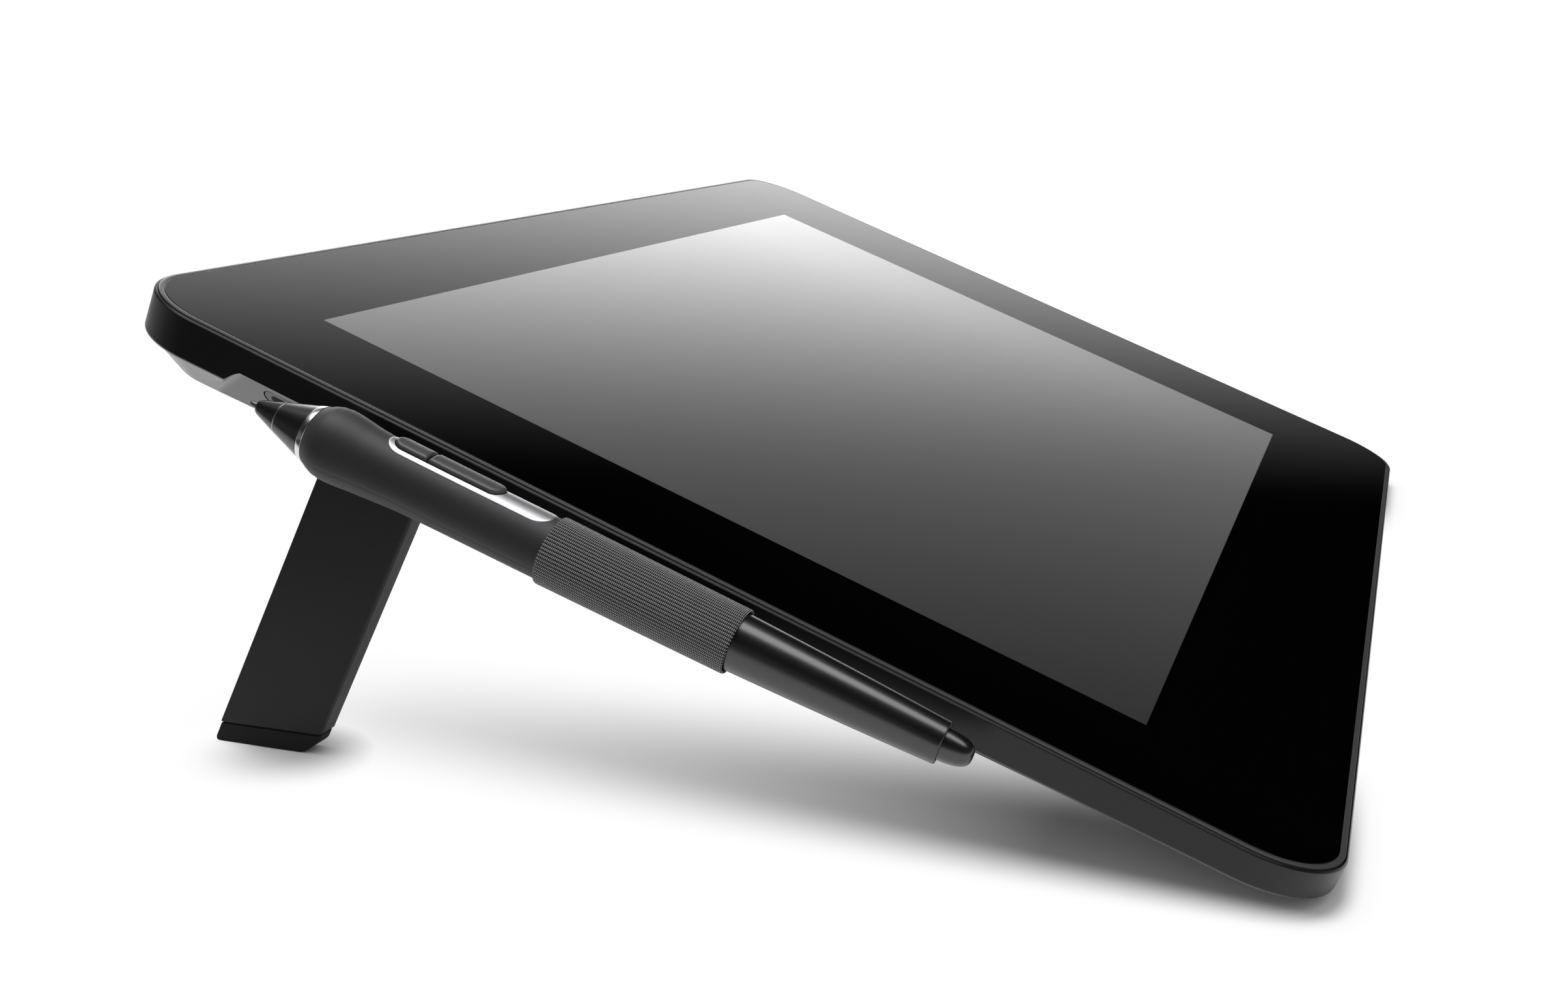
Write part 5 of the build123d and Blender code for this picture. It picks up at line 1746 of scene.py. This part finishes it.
    def floor(self) -> None:
        """The white floor, which fades into the background past the object; its material paints most of the object's
        shadow out to white.
        """
        size = 6.0
        mesh = bpy.data.meshes.new("floor")
        mesh.from_pydata([(-size, -size, 0), (size, -size, 0), (size, size, 0), (-size, size, 0)], [], [(0, 1, 2, 3)])
        material = bpy.data.materials.new("floor_white")
        material.use_nodes = True
        tree = Tree(material.node_tree)
        shader = material.node_tree.nodes["Principled BSDF"]
        tree.feed(shader, Base_Color=(0.97, 0.97, 0.97, 1), Roughness=0.9, Specular_IOR_Level=0.0)
        paths = tree.add("ShaderNodeLightPath")
        seen = tree.math("MAXIMUM", paths.outputs["Is Camera Ray"], paths.outputs["Is Glossy Ray"])
        seen = tree.math("MAXIMUM", seen, paths.outputs["Is Transmission Ray"])
        place = tree.add("ShaderNodeTexCoord")
        axes = tree.feed(tree.add("ShaderNodeSeparateXYZ"), Vector=place.outputs["Object"])
        along, across = axes.outputs[0], axes.outputs[1]
        # Painted light: the mask below mixes white emission over the rendered shadow under the object. The shadow stays
        # in a band under the near side and under the opposite end. It is full at the low edge and lifted more and more
        # towards the raised edge. Under the middle it is painted out to white, and a small circle round the left foot
        # keeps its rendered shade.
        half = tree.math("MULTIPLY_ADD", across, -0.1, 0.1945)
        past_x = tree.math("SUBTRACT", tree.math("ABSOLUTE", tree.math("SUBTRACT", along, 0.0097)), half)
        past_y = tree.math("SUBTRACT", tree.math("ABSOLUTE", across), 0.139)
        softness = tree.math("MAXIMUM", tree.math("MULTIPLY_ADD", across, 0.14, 0.032), 0.012)
        past = tree.math("DIVIDE", tree.math("MAXIMUM", past_x, past_y), softness)
        under = self.step(tree, past, 0.5, -0.5)
        raised = self.step(tree, across, -0.075, 0.165, "LINEAR")
        beyond = self.step(tree, along, -0.165, -0.105)
        return_side = self.step(tree, along, 0.12, 0.18)
        beyond = tree.math("MULTIPLY", beyond, tree.math("SUBTRACT", 1.0, return_side))
        shaded = tree.math("MULTIPLY", under, tree.math("SUBTRACT", 1.0, raised))
        shaded = tree.math("MULTIPLY", shaded, tree.math("SUBTRACT", 1.0, beyond))
        off_foot = tree.add("ShaderNodeVectorMath", operation="DISTANCE")
        tree.feed(off_foot, i0=place.outputs["Object"], i1=(-0.187, 0.104, 0.0))
        contact = self.step(tree, off_foot.outputs["Value"], 0.026, 0.004)
        # far is the share of painted white laid over the rendered floor shade.
        far = tree.math("SUBTRACT", 1.0, tree.math("MAXIMUM", shaded, contact))
        white = tree.feed(tree.add("ShaderNodeEmission"), Color=(1, 1, 1, 1), Strength=1.0)
        mix = tree.add("ShaderNodeMixShader")
        share = tree.math("MULTIPLY", seen, far)
        tree.feed(mix, i0=share, i1=shader.outputs[0], i2=white.outputs[0])
        tree.feed(tree.tree.nodes["Material Output"], Surface=mix.outputs[0])
        mesh.materials.append(material)
        placed(mesh)

    def step(
        self, tree: Tree, value: bpy.types.NodeSocket, low: float, high: float, kind: str = "SMOOTHSTEP"
    ) -> bpy.types.NodeSocket:
        """A soft step from nothing at low to one at high."""
        node = tree.add("ShaderNodeMapRange", interpolation_type=kind)
        return tree.feed(node, Value=value, From_Min=low, From_Max=high).outputs[0]

    def world(self) -> None:
        """A white surround for the eye and for light through glass, a dim one for reflections, and a plain level of
        soft light.
        """
        world = bpy.data.worlds.new("studio")
        bpy.context.scene.world = world
        world.use_nodes = True
        tree = Tree(world.node_tree)
        paths = tree.add("ShaderNodeLightPath")
        seen = tree.math("MAXIMUM", paths.outputs["Is Camera Ray"], paths.outputs["Is Transmission Ray"])
        strength = tree.math("MULTIPLY_ADD", seen, 1.0 - self.sky, self.sky)
        shine = tree.math("MULTIPLY", paths.outputs["Is Glossy Ray"], self.mirrored_sky - self.sky)
        strength = tree.math("ADD", strength, shine)
        surround = world.node_tree.nodes["Background"]
        tree.feed(surround, Color=(1, 1, 1, 1), Strength=strength)

    def lamps(self) -> None:
        """A broad soft lamp overhead, as a sun with a wide disc."""
        light = bpy.data.lights.new("overhead", "SUN")
        light.energy = self.sun * math.pi
        light.angle = math.radians(34)
        thing = bpy.data.objects.new("overhead", light)
        thing.rotation_euler = (math.radians(-8), math.radians(4), 0)
        bpy.context.scene.collection.objects.link(thing)

    def cards(self) -> None:
        """The dark canopy, the softbox under it and the flag on the floor."""
        high = 1.6
        wide = 4.0
        self.card(
            "canopy", ((-wide, -wide, high), (wide, -wide, high), (wide, wide, high), (-wide, wide, high)), 0.015
        )
        self.card("softbox", ((-0.52, -1.3, 1.2), (0.08, -1.3, 1.2), (0.08, 0.7, 1.2), (-0.52, 0.7, 1.2)), 3.2)
        self.card("flag", ((-3.0, 0.06, 0.003), (-0.3, 0.06, 0.003), (-0.3, 3.0, 0.003), (-3.0, 3.0, 0.003)), 0.0)

    def build(self) -> None:
        """Builds the studio."""
        self.camera()
        self.floor()
        self.world()
        self.lamps()
        self.glow_card()
        self.cards()
        bpy.context.scene.view_settings.view_transform = "Standard"


CARRIED = {
    "lcd_panel": "panel_dark",
    "light_guide": "acrylic_clear",
    "lamp_strip": "lamp_white",
    "backlight_tray": "sheet_aluminium",
    "sensor_board": "board_green",
    "shield_plate": "sheet_steel",
    "shield_screws": "sheet_steel",
    "main_board": "board_green",
    "board_chips": "chip_black",
    "board_screws": "sheet_steel",
    "cable_socket": "sheet_steel",
    "power_switch": "chip_black",
    "light_pipe": "acrylic_clear",
    "loop_anchor": "casing_black",
    "left_hinge_pin": "pin_steel",
    "right_hinge_pin": "pin_steel",
    "pen_coil": "coil_copper",
    "pen_force_sensor": "chip_black",
    "pen_board": "board_green",
}


def main() -> None:
    """Builds the object and its studio in order."""
    logging.basicConfig(level=logging.INFO, format="%(name)s: %(message)s")
    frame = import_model()
    layout = Layout()
    kit = Kit(layout)
    spread = Spread()
    legs = Legs(kit, layout)
    Casing(kit, layout, spread).build(legs)
    legs.build()
    Pen(kit, layout, spread).build()
    for name, finish in CARRIED.items():
        kit.dress(frame["nodes"][name], finish)
    Studio(layout).build()


if __name__ == "__main__":
    main()
